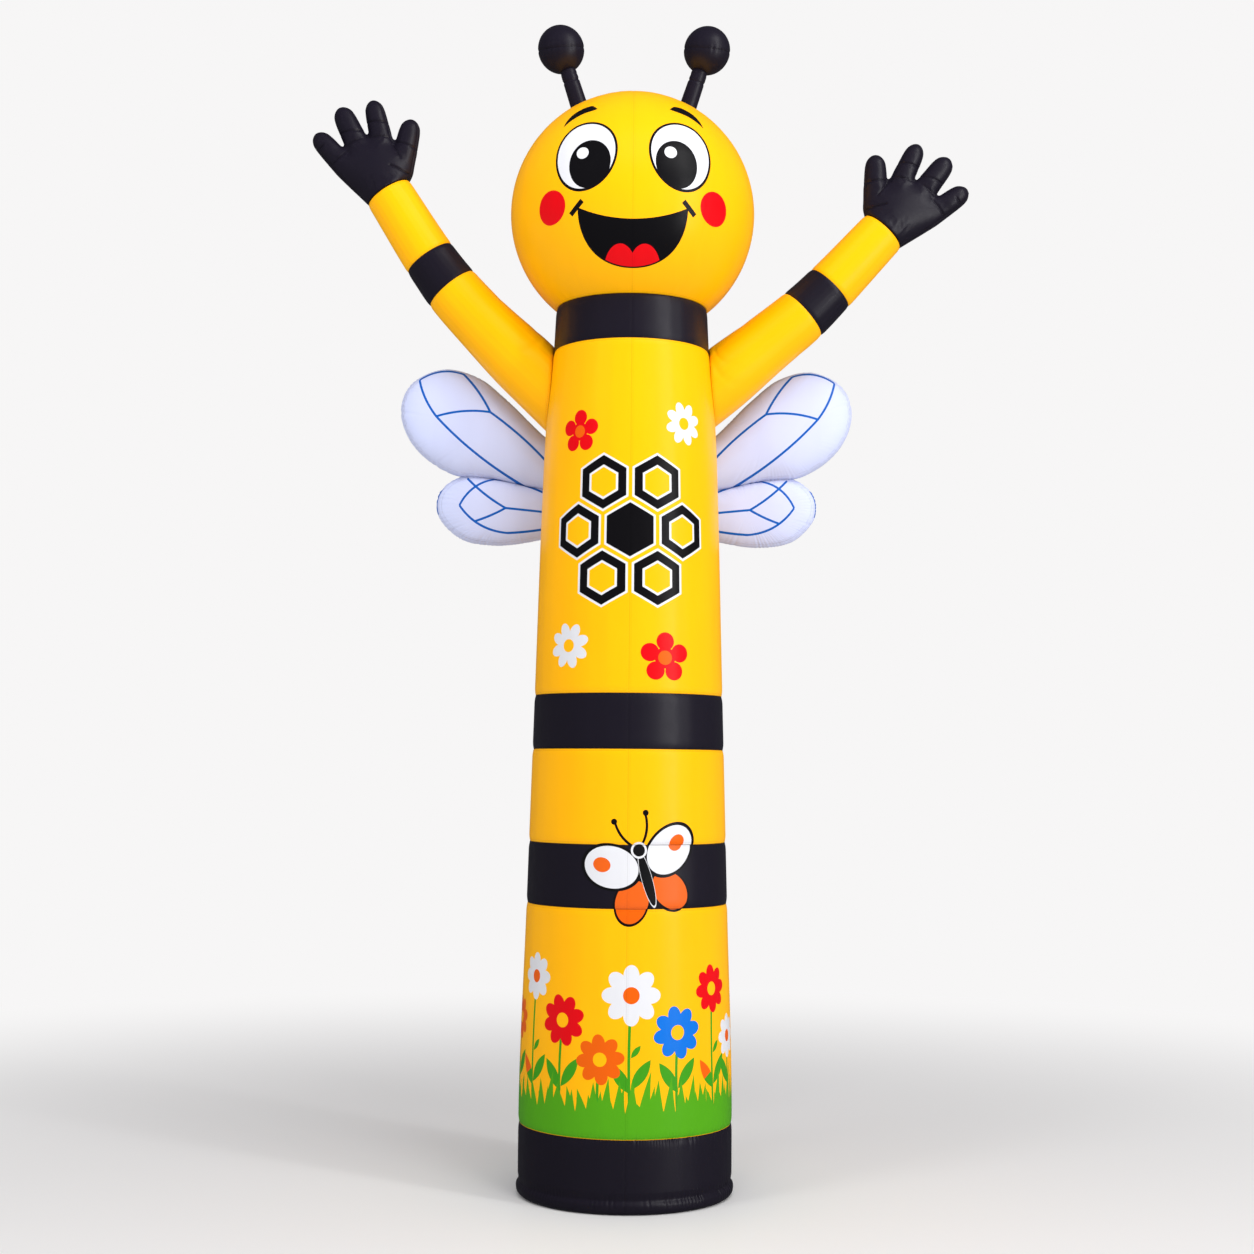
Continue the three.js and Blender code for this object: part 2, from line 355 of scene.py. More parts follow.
yellow_dye = dye(250, 178, 2)
black_dye = dye(23, 19, 31)
wing_dye = dye(194, 201, 233)
white_ink = dye(214, 215, 220)
black_ink = dye(14, 13, 16)
red_ink = dye(216, 1, 14)
blue_ink = dye(8, 108, 208)
orange_ink = dye(224, 92, 4)
green_ink = dye(78, 158, 20)
leaf_ink = dye(60, 148, 24)
vein_ink = dye(0, 86, 176)
# The colour that multiplies into the cloth for the painted shade of seam lines and creases, and for the
# stitches
seam_shade_tint = dye(120, 104, 100)


# Curves and tables


def smooth_table(rows, places):
    """Reads (place, value) rows on a smooth curve that doesn't overshoot them."""
    xs, ys = np.array(rows, float).T
    spans = np.diff(xs)
    slopes = np.diff(ys) / spans
    tangents = np.concatenate([slopes[:1], np.zeros(len(xs) - 2), slopes[-1:]])
    product = slopes[:-1] * slopes[1:]
    same_way = product > 0
    tangents[1:-1][same_way] = 2 * product[same_way] / (slopes[:-1] + slopes[1:])[same_way]
    i = np.clip(np.searchsorted(xs, places) - 1, 0, len(spans) - 1)
    t = np.clip((places - xs[i]) / spans[i], 0, 1)
    kept = ys[i] * (1 + 2 * t) * (1 - t) ** 2 + ys[i + 1] * t ** 2 * (3 - 2 * t)
    return kept + spans[i] * (tangents[i] * t * (1 - t) ** 2 + tangents[i + 1] * t ** 2 * (t - 1))


def smooth_line(points, closed=False, steps=60):
    """Many points on the smooth line through a few (centripetal Catmull-Rom)."""
    points = np.array(points, float)
    if closed:
        padded = np.vstack([points[-1:], points, points[:2]])
    else:
        padded = np.vstack([2 * points[:1] - points[1:2], points, 2 * points[-1:] - points[-2:-1]])
    t = np.linspace(0, 1, steps, endpoint=False)[:, None]
    spans = []
    for p0, p1, p2, p3 in zip(padded, padded[1:], padded[2:], padded[3:]):
        d0, d1, d2 = (np.linalg.norm(b - a) ** 0.5 for a, b in ((p0, p1), (p1, p2), (p2, p3)))
        leave = d1 * ((p1 - p0) / d0 - (p2 - p0) / (d0 + d1) + (p2 - p1) / d1)
        reach = d1 * ((p2 - p1) / d1 - (p3 - p1) / (d1 + d2) + (p3 - p2) / d2)
        ends = (2 * t ** 3 - 3 * t ** 2 + 1) * p1 + (3 * t ** 2 - 2 * t ** 3) * p2
        spans.append(ends + (t ** 3 - 2 * t ** 2 + t) * leave + (t ** 3 - t ** 2) * reach)
    return np.vstack(spans + ([] if closed else [points[-1:]]))


def lengths_along(line):
    """The distance from the line's start to each of its points."""
    return np.concatenate([[0], np.cumsum(np.linalg.norm(np.diff(line, axis=0), axis=1))])


def seam_rows(start, end, fine, coarse, reach):
    """Places along a piece: close together near the seams at its ends, further apart between them."""
    near = reach * np.linspace(0, 1, max(3, round(reach / fine))) ** row_crowding
    between = np.linspace(start + reach, end - reach, max(2, round((end - start - 2 * reach) / coarse)))
    return np.concatenate([start + near, between[1:-1], (end - near)[::-1]])


def ramp(value, start, span):
    """0 up to the start, then rising to 1 over the span."""
    return np.clip((value - start) / span, 0, 1)


def wrapped(angle):
    """The same angle between minus and plus half a turn."""
    return (angle + math.pi) % (2 * math.pi) - math.pi


def round_grid(sides, rows):
    """The turn and the row of each point of a round skin. The last column lies on the first."""
    return np.meshgrid(np.linspace(-math.pi, math.pi, sides + 1), rows)


def round_points(turn, radius, height):
    """Points round an upright line. Turn is 0 at the front and grows to the right."""
    return np.stack(np.broadcast_arrays(radius * np.sin(turn), -radius * np.cos(turn), height), -1)


# Folds of air-filled cloth


def drawn_in(distance, dip, reach):
    """How far a seam draws the cloth in at a distance from it."""
    return dip * np.clip(1 - distance / reach, 0, 1) ** 2


def puckers(share, count, seed):
    """Uneven puckers along a closed seam: 0 on their tops, up to 1 in the creases between them."""
    draw = np.random.default_rng(seed)
    phase = math.pi * count * share
    strength = pucker_mean
    for waves in pucker_waves:
        turn = 2 * math.pi * waves * share
        swing = np.sin(turn + draw.uniform(0, 2 * math.pi))
        phase = phase + swing * draw.uniform(*pucker_shift) * count / waves
        strength = strength + pucker_swell * np.sin(turn + draw.uniform(0, 2 * math.pi))
    return np.clip(strength, pucker_least, 1) * (1 - np.abs(np.sin(phase)))


def gathered(turn, distance, deep, count, seed, reach):
    """How far the puckers of a ring seam draw the cloth in at a distance from it."""
    share = (turn / (2 * math.pi)) % 1
    return deep * puckers(share, count, seed) * np.exp(-distance / reach)


def ripples(turn, height, seed):
    """Shallow upright ripples, from -1 to 0."""
    draw = np.random.default_rng(seed)
    total = 0
    for waves in ripple_waves:
        slant = draw.normal(0, ripple_slant)
        start = draw.uniform(0, 2 * math.pi)
        total = total + draw.uniform(*ripple_shares) * np.cos(waves * turn + slant * height + start)
    return np.clip(total / ripple_scale, -0.5, 0.5) - 0.5


# Meshes


def read(items, field, width=3, kind=np.float32):
    """One field of a mesh's points, edges, faces or corners, a row for each."""
    values = np.empty(len(items) * width, kind)
    items.foreach_get(field, values)
    return values.reshape(-1, width)


def write(items, field, values):
    items.foreach_set(field, np.ascontiguousarray(values, dtype=np.float32).ravel())


def points_of(mesh):
    return read(mesh.vertices, "co").astype(float)


def normals_of(mesh):
    return read(mesh.vertex_normals, "vector").astype(float)


def move_points(mesh, points):
    write(mesh.vertices, "co", points)
    mesh.update()


def set_map(mesh, name, places):
    write(mesh.uv_layers.new(name=name).data, "uv", places)


def set_seams(mesh, seams):
    """Keeps each point's distance to its nearest seam, its run along it, and how strongly that shows."""
    old = mesh.attributes.get("seam")
    if old:
        mesh.attributes.remove(old)
    write(mesh.attributes.new("seam", "FLOAT_VECTOR", "POINT").data, "vector", seams)


def seam_vectors(distance, run, strength):
    return np.stack(np.broadcast_arrays(distance, run, strength), -1)


def nearer_seam(first, second):
    """The nearer of two seams at each point. Each is given as distance, run and strength."""
    return np.where((first[0] < second[0])[..., None], seam_vectors(*first), seam_vectors(*second))


def smooth_shade(mesh):
    mesh.polygons.foreach_set("use_smooth", np.ones(len(mesh.polygons), bool))
    mesh.set_sharp_from_angle(angle=sharp_edge)


def in_scene(name, data):
    """A new object, linked into the scene."""
    thing = bpy.data.objects.new(name, data)
    bpy.context.collection.objects.link(thing)
    return thing


def closed_skin(name, rings, cloth_places, seams, side="right"):
    """A closed tube of cloth from its rings of points, with flat ends. cloth_places has one column more."""
    rows, sides = rings.shape[:2]
    if side == "left":
        rings = rings * (-1, 1, 1)
    ends = np.stack([rings[0].mean(0), rings[-1].mean(0)])
    here = np.arange(rows * sides).reshape(rows, sides)
    beside = np.roll(here, -1, axis=1)
    walls = np.stack([here[:-1], beside[:-1], beside[1:], here[1:]], -1).reshape(-1, 4)
    foot = np.stack([beside[0], here[0], np.full(sides, rows * sides)], -1)
    top = np.stack([here[-1], beside[-1], np.full(sides, rows * sides + 1)], -1)
    mesh = bpy.data.meshes.new(name)
    points = np.vstack([rings.reshape(-1, 3), ends])
    mesh.from_pydata(points.tolist(), [], walls.tolist() + foot.tolist() + top.tolist())

    across = np.linspace(0, 1, sides + 1)
    bake_places = np.stack(np.meshgrid(across, np.linspace(0, bake_wall_top, rows)), -1)
    strip = np.stack([across, np.zeros(sides + 1)], -1)
    for layer, places, low, high, middle in (
        (cloth_map, cloth_places, cloth_places[0], cloth_places[-1], cloth_places[-1].mean(0)),
        (bake_map, bake_places, strip + (0, bake_foot), strip + (0, bake_top), np.array([0.5, bake_tip])),
    ):
        corners = np.stack([places[:-1, :-1], places[:-1, 1:], places[1:, 1:], places[1:, :-1]], 2)
        tip = np.broadcast_to(middle, (sides, 2))
        foot_corners = np.stack([low[1:], low[:-1], tip], 1)
        top_corners = np.stack([high[:-1], high[1:], tip], 1)
        set_map(mesh, layer, np.vstack([c.reshape(-1, 2) for c in (corners, foot_corners, top_corners)]))
    set_seams(mesh, np.vstack([seams.reshape(-1, 3), np.zeros((2, 3))]))
    if side == "left":
        mesh.flip_normals()
    smooth_shade(mesh)
    return in_scene(name, mesh)


def baked(piece):
    """The piece's mesh with its modifiers applied."""
    bpy.context.view_layer.update()
    depsgraph = bpy.context.evaluated_depsgraph_get()
    mesh = bpy.data.meshes.new_from_object(piece.evaluated_get(depsgraph), depsgraph=depsgraph)
    piece.modifiers.clear()
    old = piece.data
    piece.data = mesh
    bpy.data.meshes.remove(old)
    return mesh


def front_and_back_maps(mesh, across, up, depth):
    """Maps a flat-lying piece from its front and its back, which meet at a depth."""
    front = read(mesh.polygons, "center")[:, 1] < depth
    half = np.repeat(front, read(mesh.polygons, "loop_total", 1, np.int32)[:, 0])
    flat = np.stack([across, up], -1)[read(mesh.loops, "vertex_index", 1, np.int32)[:, 0]]
    low, high = flat.min(0), flat.max(0)
    share = (flat - low) / (high - low).max() * bake_half
    share[:, 0] += np.where(half, 0.0, 0.5)
    for layer in list(mesh.uv_layers):
        mesh.uv_layers.remove(layer)
    set_map(mesh, cloth_map, flat)
    set_map(mesh, bake_map, share)


def dress(piece, node, material):
    """Puts the piece in its node's place, with its cloth."""
    piece.data.materials.clear()
    piece.data.materials.append(material)
    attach(piece, "root")
    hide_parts(node)


# Column and head


def column_radius(turn, height):
    """The wall's radius with its seams, puckers and ripples."""
    wall = smooth_table(column_wall_rows, height)
    radius = np.where(height < hem_top, smooth_table(hem_rows, height), wall)
    uneven = np.clip(gather_mean + gather_swing * np.sin(turn + gather_turn), gather_least, 1)
    for seam_height, deep, count, seed in column_puckers:
        distance = np.abs(height - seam_height)
        if seam_height > hem_top:
            radius = radius - drawn_in(distance, **ring_seam)
        radius = radius - uneven * gathered(turn, distance, deep, count, seed, pucker_reach)
    for seam_turn in (0, math.pi):
        radius = radius - drawn_in(np.abs(wrapped(turn - seam_turn)) * wall, **upright_seam)
    return radius + column_ripple_depth * ripples(turn, height, column_ripple_seed)


def panel_radius(node):
    """The column's radius at the middle height of one of its panels."""
    low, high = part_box(node)
    return smooth_table(column_wall_rows, np.array([(low.z + high.z) / 2]))[0]


def column_panel(node, sides):
    low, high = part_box(node)
    heights = seam_rows(low.z, high.z, fine_row, coarse_row, min(fine_reach, (high.z - low.z) / 3))
    if node == "base_band":
        above = seam_rows(hem_top, high.z, fine_row, hem_coarse_row, fine_reach)
        heights = np.concatenate([np.linspace(0, hem_top, hem_row_count), above[1:]])
    turn, height = round_grid(sides, heights)
    mean_radius = panel_radius(node)
    rings = round_points(turn, column_radius(turn, height), height)[:, :-1]
    places = np.stack([turn * mean_radius, height], -1)
    to_ends = np.minimum(height - low.z, high.z - height)
    to_upright = np.minimum(np.abs(turn), math.pi - np.abs(turn)) * mean_radius
    seams = nearer_seam((to_upright, height, upright_strength), (to_ends, turn * mean_radius, 1))
    return closed_skin(f"{node}_cloth", rings, places, seams[:, :-1])


def head_skin():
    low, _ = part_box("head")
    neck = math.asin((low.z - head_middle) / head_radius)
    near_neck = fine_reach / head_radius
    rises = np.concatenate([
        neck + near_neck * np.linspace(0, 1, neck_row_count) ** row_crowding,
        np.linspace(neck + near_neck, crown_rise, head_row_count)[1:],
    ])
    turn, rise = round_grid(head_sides, rises)
    ring = head_radius * np.cos(rise)
    gore = 2 * math.pi / gores
    to_gore = np.abs((turn + gore / 2) % gore - gore / 2) * ring
    to_neck = (rise - neck) * head_radius
    fade = np.clip(ring / crown_fade, 0, 1)
    radius = head_radius - fade * drawn_in(to_gore, **gore_seam) - gathered(turn, to_neck, **neck_puckers)
    radius = radius + fade * head_ripple_depth * ripples(turn, rise, head_ripple_seed)
    rings = round_points(turn, radius * np.cos(rise), head_middle + radius * np.sin(rise))[:, :-1]
    rings[0, :, 2] = low.z
    places = np.stack([turn * ring, rise * head_radius], -1)
    gore_strength = fade * np.where(np.abs(turn) < gore / 2, upright_strength, side_gore_strength)
    seams = nearer_seam((to_gore, rise * head_radius, gore_strength), (to_neck, turn * ring, 1))
    return closed_skin("head_cloth", rings, places, seams[:, :-1])


# Feelers


def moved(matrix, points):
    return points @ np.array(matrix.to_3x3()).T + np.array(matrix.translation)


def ball_skin(side):
    turn, rise = round_grid(ball_sides, np.linspace(-ball_pole, ball_pole, ball_row_count))
    to_ring = np.abs(rise) * ball_radius
    pinch = gathered(turn, to_ring, seed=ball_seeds[side], **ball_puckers)
    radius = ball_radius - drawn_in(to_ring, **ball_seam) - pinch
    points = round_points(turn, radius * np.cos(rise), radius * np.sin(rise))[:, :-1]
    points = points @ np.array(ball_tilt).T * (1, 1, ball_half_height / ball_radius)
    rings = moved(feeler_place @ Matrix.Translation((0, 0, ball_distance)), points)
    places = np.stack([turn * ball_radius, rise * ball_radius], -1)
    seams = seam_vectors(to_ring, turn * ball_radius, sleeve_strength)[:, :-1]
    return closed_skin(f"feeler_ball_{side}_cloth", rings, places, seams, side)


def clear_stretch(tube, places, blocked):
    """For each line along a tube, where it leaves the piece at its root and meets the piece at its tip."""
    inside = blocked(tube)
    middle = len(places) // 2
    rows = np.arange(len(places))[:, None]
    leaves = np.where(inside & (rows < middle), rows, -1).max(0)
    meets = np.where(inside & (rows >= middle), rows, len(places)).min(0)
    start = places[np.clip(leaves + 1, 0, len(places) - 1)]
    end = places[np.clip(meets - 1, 0, len(places) - 1)]
    return start, end


def stalk_skin(side):
    around = np.linspace(-math.pi, math.pi, stalk_sides + 1)
    turns = around[:-1]

    def tube(distances):
        radius = stalk_radii[0] + (stalk_radii[1] - stalk_radii[0]) * distances / ball_distance
        for place, deep in stalk_creases:
            lean = stalk_crease_lean * np.sin(turns + place * stalk_crease_turn)
            radius = radius - deep * np.exp(-((distances - place - lean) / stalk_crease_width) ** 2)
        return moved(feeler_place, round_points(turns, radius, distances))

    ball_middle = np.array(feeler_place @ Vector((0, 0, ball_distance)))
    upright = np.array(feeler_place.to_3x3())
    half = np.array([ball_radius, ball_radius, ball_half_height]) + seam_gap

    def blocked(points):
        in_head = np.linalg.norm(points - (0, 0, head_middle), axis=-1) < head_radius + seam_gap
        in_ball = np.linalg.norm((points - ball_middle) @ upright / half, axis=-1) < 1
        return in_head | in_ball

    fine = np.linspace(-stalk_overrun, ball_distance, stalk_search_steps)
    start, end = clear_stretch(tube(np.repeat(fine[:, None], stalk_sides, axis=1)), fine, blocked)
    shares = np.linspace(0, 1, stalk_row_count)[:, None]
    distances = start + (end - start) * shares
    near_ends = np.minimum(distances - start, end - distances)
    rings = tube(distances)
    axis_points = moved(feeler_place, np.stack([0 * distances, 0 * distances, distances], -1))
    pull = drawn_in(near_ends, **stalk_seam)[..., None] / stalk_radii[0]
    rings = rings + (axis_points - rings) * pull
    up = shares * (ball_distance - ball_radius)
    places = np.stack(np.broadcast_arrays(around * stalk_radii[0], up), -1)
    seams = seam_vectors(near_ends, turns * stalk_radii[0], thin_seam_strength)
    return closed_skin(f"feeler_stalk_{side}_cloth", rings, places, seams, side)


# Arms


class ArmLine:
    """The middle line of one arm, built towards +X: places on it are distances from its root."""

    def __init__(self, side):
        flat = smooth_line(arm_lines[side])
        self.points = np.stack([flat[:, 0], np.full(len(flat), arm_depth), flat[:, 1]], -1)
        self.lengths = lengths_along(self.points)
        self.length = self.lengths[-1]

    def at(self, places):
        return np.stack([np.interp(places, self.lengths, axis) for axis in self.points.T], -1)

    def directions(self, places):
        """Across the arm and along it. Back is +Y."""
        before = self.at(np.clip(places - line_step, 0, self.length))
        along = self.at(np.clip(places + line_step, 0, self.length)) - before
        along = along / np.linalg.norm(along, axis=-1, keepdims=True)
        return np.cross((0, 1, 0), along), along


def in_column(points):
    wall = smooth_table(column_wall_rows, points[..., 2])
    return np.hypot(points[..., 0], points[..., 1]) < wall + seam_gap


def sleeve_skin(node, side, start, end, seed):
    """One sleeve of an arm between two places on its line. It starts at the column where start is None."""
    line = ArmLine(side)
    around = np.linspace(-math.pi, math.pi, sleeve_sides + 1)
    turns = around[:-1]

    def tube_radius(places):
        from_wrist = line.length - places
        radius = smooth_table(arm_radius_rows, from_wrist)
        for place, facing, spread, width, deep in sleeve_creases[side]:
            aside = np.abs(wrapped(turns - math.radians(facing))) / math.radians(spread)
            off = (from_wrist - place + sleeve_crease_bend * aside ** 2) / width
            radius = radius - deep * np.exp(-off ** 2 - aside ** 2)
        return radius + sleeve_ripple_depth * ripples(turns, places * sleeve_ripple_stretch, seed)

    def laid(places, radius):
        across, _ = line.directions(places)
        side_way = np.cos(turns)[..., None] * across
        back_way = np.sin(turns)[..., None] * np.array((0, 1, 0))
        return line.at(places) + radius[..., None] * (side_way + back_way)

    root_deep = sleeve_pucker_depth
    if start is None:
        root_deep = shoulder_pucker_depth
        fine = np.linspace(0, end, sleeve_search_steps)
        tall = np.repeat(fine[:, None], sleeve_sides, axis=1)
        start, _ = clear_stretch(laid(tall, tube_radius(tall)), fine, in_column)
    places = start + (end - start) * seam_rows(0, 1, **sleeve_rows)[:, None] + np.zeros(sleeve_sides)
    from_ends = np.minimum(places - start, end - places)
    deep = np.where(places - start < end - places, root_deep, sleeve_pucker_depth)
    radius = tube_radius(places) - drawn_in(from_ends, **sleeve_seam)
    radius = radius - gathered(turns, from_ends, deep, seed=seed, **sleeve_puckers)
    closed_places = np.append(places, places[:, :1], axis=1)
    map_places = np.stack(np.broadcast_arrays(around * sleeve_map_radius, closed_places), -1)
    seams = seam_vectors(from_ends, turns * sleeve_map_radius, sleeve_strength)
    return closed_skin(f"{node}_cloth", laid(places, radius), map_places, seams, side)


# Hands


def wrist_frame(side):
    """Turns the hand's own directions, out, back and along, into the arm built towards +X."""
    line = ArmLine(side)
    across, along = line.directions(np.array([line.length]))
    axes = np.stack([across[0], (0, 1, 0), along[0]], -1)
    return axes, line.at(np.array([line.length]))[0]


def digit_frame(digit, side):
    """A digit's root, the way along it and the way across it, in the hand's own directions."""
    turn = math.radians(hand_turn[side])
    angle = math.radians(digit.lean) + turn
    root_out = digit.out * math.cos(turn) + digit.along * math.sin(turn)
    root_along = digit.along * math.cos(turn) - digit.out * math.sin(turn)
    way = np.array([math.sin(angle), 0, math.cos(angle)])
    return [root_out, 0, root_along], way, np.array([math.cos(angle), 0, -math.sin(angle)])


def round_digits(local, side):
    """Moves points close to a digit's round shape onto it, and gives each point's share in the palm."""
    palm_share = np.ones(len(local))
    for digit in digits:
        root, way, _ = digit_frame(digit, side)
        off = local - root
        place = off @ way
        aside = off - place[:, None] * way
        far = np.linalg.norm(aside, axis=1) + tiny
        ratio = digit.radius * smooth_table(digit_rows, digit.length - place) / far
        past_web = ramp(place, web_reach, web_fade)
        near = ramp(rounding_reach - np.abs(ratio - 1), 0, rounding_fade)
        before_tip = ramp(digit.length - place, tip_margin, tip_fade)
        local = local + aside * (past_web * near * before_tip * (ratio - 1))[:, None]
        palm_share *= 1 - past_web * ramp(digit_reach - far / digit.radius, 0, digit_fade)
    return local, palm_share


class Net:
    """Which points of a mesh are joined by edges, for evening out values over its skin."""

    def __init__(self, mesh):
        pairs = read(mesh.edges, "vertices", 2, np.int32)
        self.here, self.there = np.vstack([pairs, pairs[:, ::-1]]).T
        self.joined = np.bincount(self.here)

    def unevenness(self, values):
        return np.bincount(self.here, values[self.there]) / self.joined - values

    def softened(self, points, held, steps):
        for _ in range(steps):
            uneven = np.stack([self.unevenness(axis) for axis in points.T], -1)
            points = points + softening_share * held[:, None] * uneven
        return points

    def domed(self, depth, facing, held, steps):
        """Evens out the depth of a palm's two faces, as air does, and keeps them as full as before."""
        for _ in range(steps):
            change = held * self.unevenness(depth)
            lost = (change * facing).sum() / held.sum()
            depth = depth + change - held * facing * lost
        return depth


def hand_creases(local, side):
    """Each point's distance to its nearest crease or seam on a hand, and how strong that one is there."""
    rim_seam = (np.abs(local[:, 1] - hand_rim_seam), thin_seam_strength)
    wrist_seam = (np.abs(local[:, 2]), sleeve_strength)
    found = [rim_seam, wrist_seam]
    for number, from_tip, facing, spread, slant in finger_creases:
        digit = digits[number]
        root, way, across = digit_frame(digit, side)
        off = local - root
        aside = wrapped(np.arctan2(off @ across, -off[:, 1]) - math.radians(facing)) / math.radians(spread)
        held = np.clip(finger_crease_reach - np.hypot(off @ across, off[:, 1]) / digit.radius, 0, 1)
        place = off @ way + slant * (off @ across)
        found.append((np.abs(place - (digit.length - from_tip)), held * np.exp(-aside ** 4)))
    for start, end, strength in palm_creases:
        flat = local[:, [0, 2]] - start
        way = np.subtract(end, start)
        share = np.clip(flat @ way / (way @ way), 0, 1)
        found.append((np.linalg.norm(flat - share[:, None] * way, axis=1), strength * (local[:, 1] < 0)))
    distance = np.stack([row for row, _ in found])
    strength = np.stack([np.broadcast_to(row, len(local)) for _, row in found])
    nearest = np.argmin(distance / np.maximum(strength, least_crease), axis=0)
    return [np.take_along_axis(rows, nearest[None], axis=0)[0] for rows in (distance, strength)]


def hand_skin(side):
    """The hand's solid, evened out, softened, blown up as cloth, and drawn in at its sewn creases."""
    node = f"hand_{side}"
    piece = in_scene(f"{node}_cloth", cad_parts[node].data.copy())
    even = piece.modifiers.new("even mesh", "REMESH")
    even.mode = "VOXEL"
    even.voxel_size = hand_voxel
    mesh = baked(piece)
    axes, wrist = wrist_frame(side)
    mirror = np.array((-1 if side == "left" else 1, 1, 1))

    def in_hand(points):
        return (points * mirror - wrist) @ axes

    net = Net(mesh)
    local = in_hand(points_of(mesh))
    along = local[:, 2]
    free = ramp(along, cuff_margin, cuff_fade)
    facing = normals_of(mesh)[:, 1]
    local, palm_share = round_digits(net.softened(local, free, first_softening), side)
    held = free * palm_share * ramp(np.abs(facing), palm_facing, palm_facing_fade)
    local[:, 1] = net.domed(local[:, 1], np.sign(facing), held, doming_steps)
    local = net.softened(local, free, last_softening)
    move_points(mesh, (local @ axes.T + wrist) * mirror)
    blow_up(piece, along < pinned_cuff)
    finer = piece.modifiers.new("finer mesh", "SUBSURF")
    finer.levels = 1
    mesh = baked(piece)
    points = points_of(mesh)
    local = in_hand(points)
    distance, strength = hand_creases(local, side)
    dip = crease_depth * strength * np.exp(-(distance / crease_width) ** 2)
    move_points(mesh, points - normals_of(mesh) * dip[:, None])
    # The creases are kept as seams too, so the cloth paints a line of shade along each crease
    set_seams(mesh, seam_vectors(distance, local[:, 0], strength))
    front_and_back_maps(mesh, local[:, 0], local[:, 2], arm_depth)
    smooth_shade(mesh)
    return piece


def blow_up(piece, pinned):
    """Fills a closed skin with air: a short cloth simulation, with each point's move held to a limit."""
    scene = bpy.context.scene
    before = points_of(piece.data)
    pins = piece.vertex_groups.new(name="pinned")
    pins.add(np.flatnonzero(pinned).tolist(), 1.0, "REPLACE")
    air = piece.modifiers.new("air", "CLOTH")
    for setting, value in air_cloth.items():
        setattr(air.settings, setting, value)
    air.settings.vertex_group_mass = pins.name
    air.settings.effector_weights.gravity = 0
    air.collision_settings.use_collision = False
    air.point_cache.frame_start = 1
    air.point_cache.frame_end = air_steps
    for step in range(1, air_steps + 1):
        scene.frame_set(step)
    mesh = baked(piece)
    move = points_of(mesh) - before
    size = np.linalg.norm(move, axis=1, keepdims=True)
    move_points(mesh, before + move * np.minimum(1, air_move_limit / np.maximum(size, tiny)))
    piece.vertex_groups.clear()
    scene.frame_set(1)


# Wings


def plain_skin(name, rings, side="right"):
    """A closed skin whose maps and seams are set later, or never show."""
    rows, sides = rings.shape[:2]
    return closed_skin(name, rings, np.zeros((rows, sides + 1, 2)), np.zeros((rows, sides, 3)), side)


def column_cutter():
    turn, height = round_grid(cutter_sides, np.linspace(*cutter_heights, cutter_row_count))
    radius = smooth_table(column_wall_rows, height) + seam_gap
    return plain_skin("wall_cutter", round_points(turn, radius, height)[:, :-1])


def wing_rim(wing, side):
    """Evenly spaced points on a wing's outline, their places along it, and its whole length."""
    _, _, outline = wings[wing]
    rim = smooth_line([(out * wing_reach[side], height) for out, height in outline], closed=True)
    rim = np.vstack([rim, rim[:1]])
    lengths = lengths_along(rim)
    run = np.linspace(0, lengths[-1], wing_sides + 1)[:-1]
    return np.stack([np.interp(run, lengths, axis) for axis in rim.T], -1), run, lengths[-1]


def wing_pillow(name, wing, side, gather=0.0, grow=0.0):
    """A wing's closed skin before it is cut, with puckers that gather its rim."""
    wing_depth, half_depth, _ = wings[wing]
    edge, _, _ = wing_rim(wing, side)
    middle = (edge.min(0) + edge.max(0)) / 2
    swing = np.linspace(wing_pole, math.pi - wing_pole, wing_row_count)[:, None]
    spread = np.sin(swing)
    far = np.linalg.norm(edge - middle, axis=1)
    crown = np.sign(np.cos(swing)) * np.abs(np.cos(swing)) ** wing_crown * (half_depth + grow)
    close = np.exp(-np.hypot(far * (1 - spread), crown) / rim_pucker_reach)
    draw_in = (rim_pucker_depth * gather + rim_dip) * close - grow
    flat = middle + (edge - middle) * (spread - draw_in / far)[..., None]
    depth = wing_depth - crown * (1 - rim_flattening * gather * close)
    return plain_skin(name, np.stack([flat[..., 0], depth, flat[..., 1]], -1)[:, ::-1], side)


def wing_skin(wing, side, cutters, seed):
    wing_depth, _, _ = wings[wing]
    edge, run, whole = wing_rim(wing, side)
    gather = puckers(run / whole, round(whole / rim_pucker_spacing), seed)
    piece = wing_pillow(f"{wing}_{side}_cloth", wing, side, gather)
    for cutter in cutters:
        cut = piece.modifiers.new("pressed against its neighbour", "BOOLEAN")
        cut.operation = "DIFFERENCE"
        cut.solver = "EXACT"
        cut.object = cutter
    mesh = baked(piece)
    points = points_of(mesh)
    out = np.abs(points[:, 0])
    place = np.stack([out, points[:, 2]], -1)
    to_edge = np.stack([np.linalg.norm(place - p, axis=1) for p in edge[::rim_step]], -1)
    to_rim = np.hypot(to_edge.min(1), points[:, 1] - wing_depth)
    outer = ramp(out, outer_seam_start, outer_seam_fade)
    strength = inner_seam_strength + (1 - inner_seam_strength) * outer
    run_there = run[to_edge.argmin(1) * rim_step]
    set_seams(mesh, seam_vectors(np.abs(to_rim - wing_seam_inset), run_there, strength))
    front_and_back_maps(mesh, out / wing_reach[side], points[:, 2], wing_depth)
    tuck_cut_faces(mesh)
    smooth_shade(mesh)
    return piece


def tuck_cut_faces(mesh):
    """Gives the hidden faces that lie on the column's wall a small corner of the bake map."""
    points = points_of(mesh)
    wall = smooth_table(column_wall_rows, points[:, 2]) + seam_gap
    on_wall = np.abs(np.hypot(points[:, 0], points[:, 1]) - wall) < on_wall_margin
    bake = mesh.uv_layers[bake_map]
    for face in mesh.polygons:
        if all(on_wall[v] for v in face.vertices):
            for loop in face.loop_indices:
                bake.data[loop].uv = (bake_tip, bake_tip)


# Shader wiring


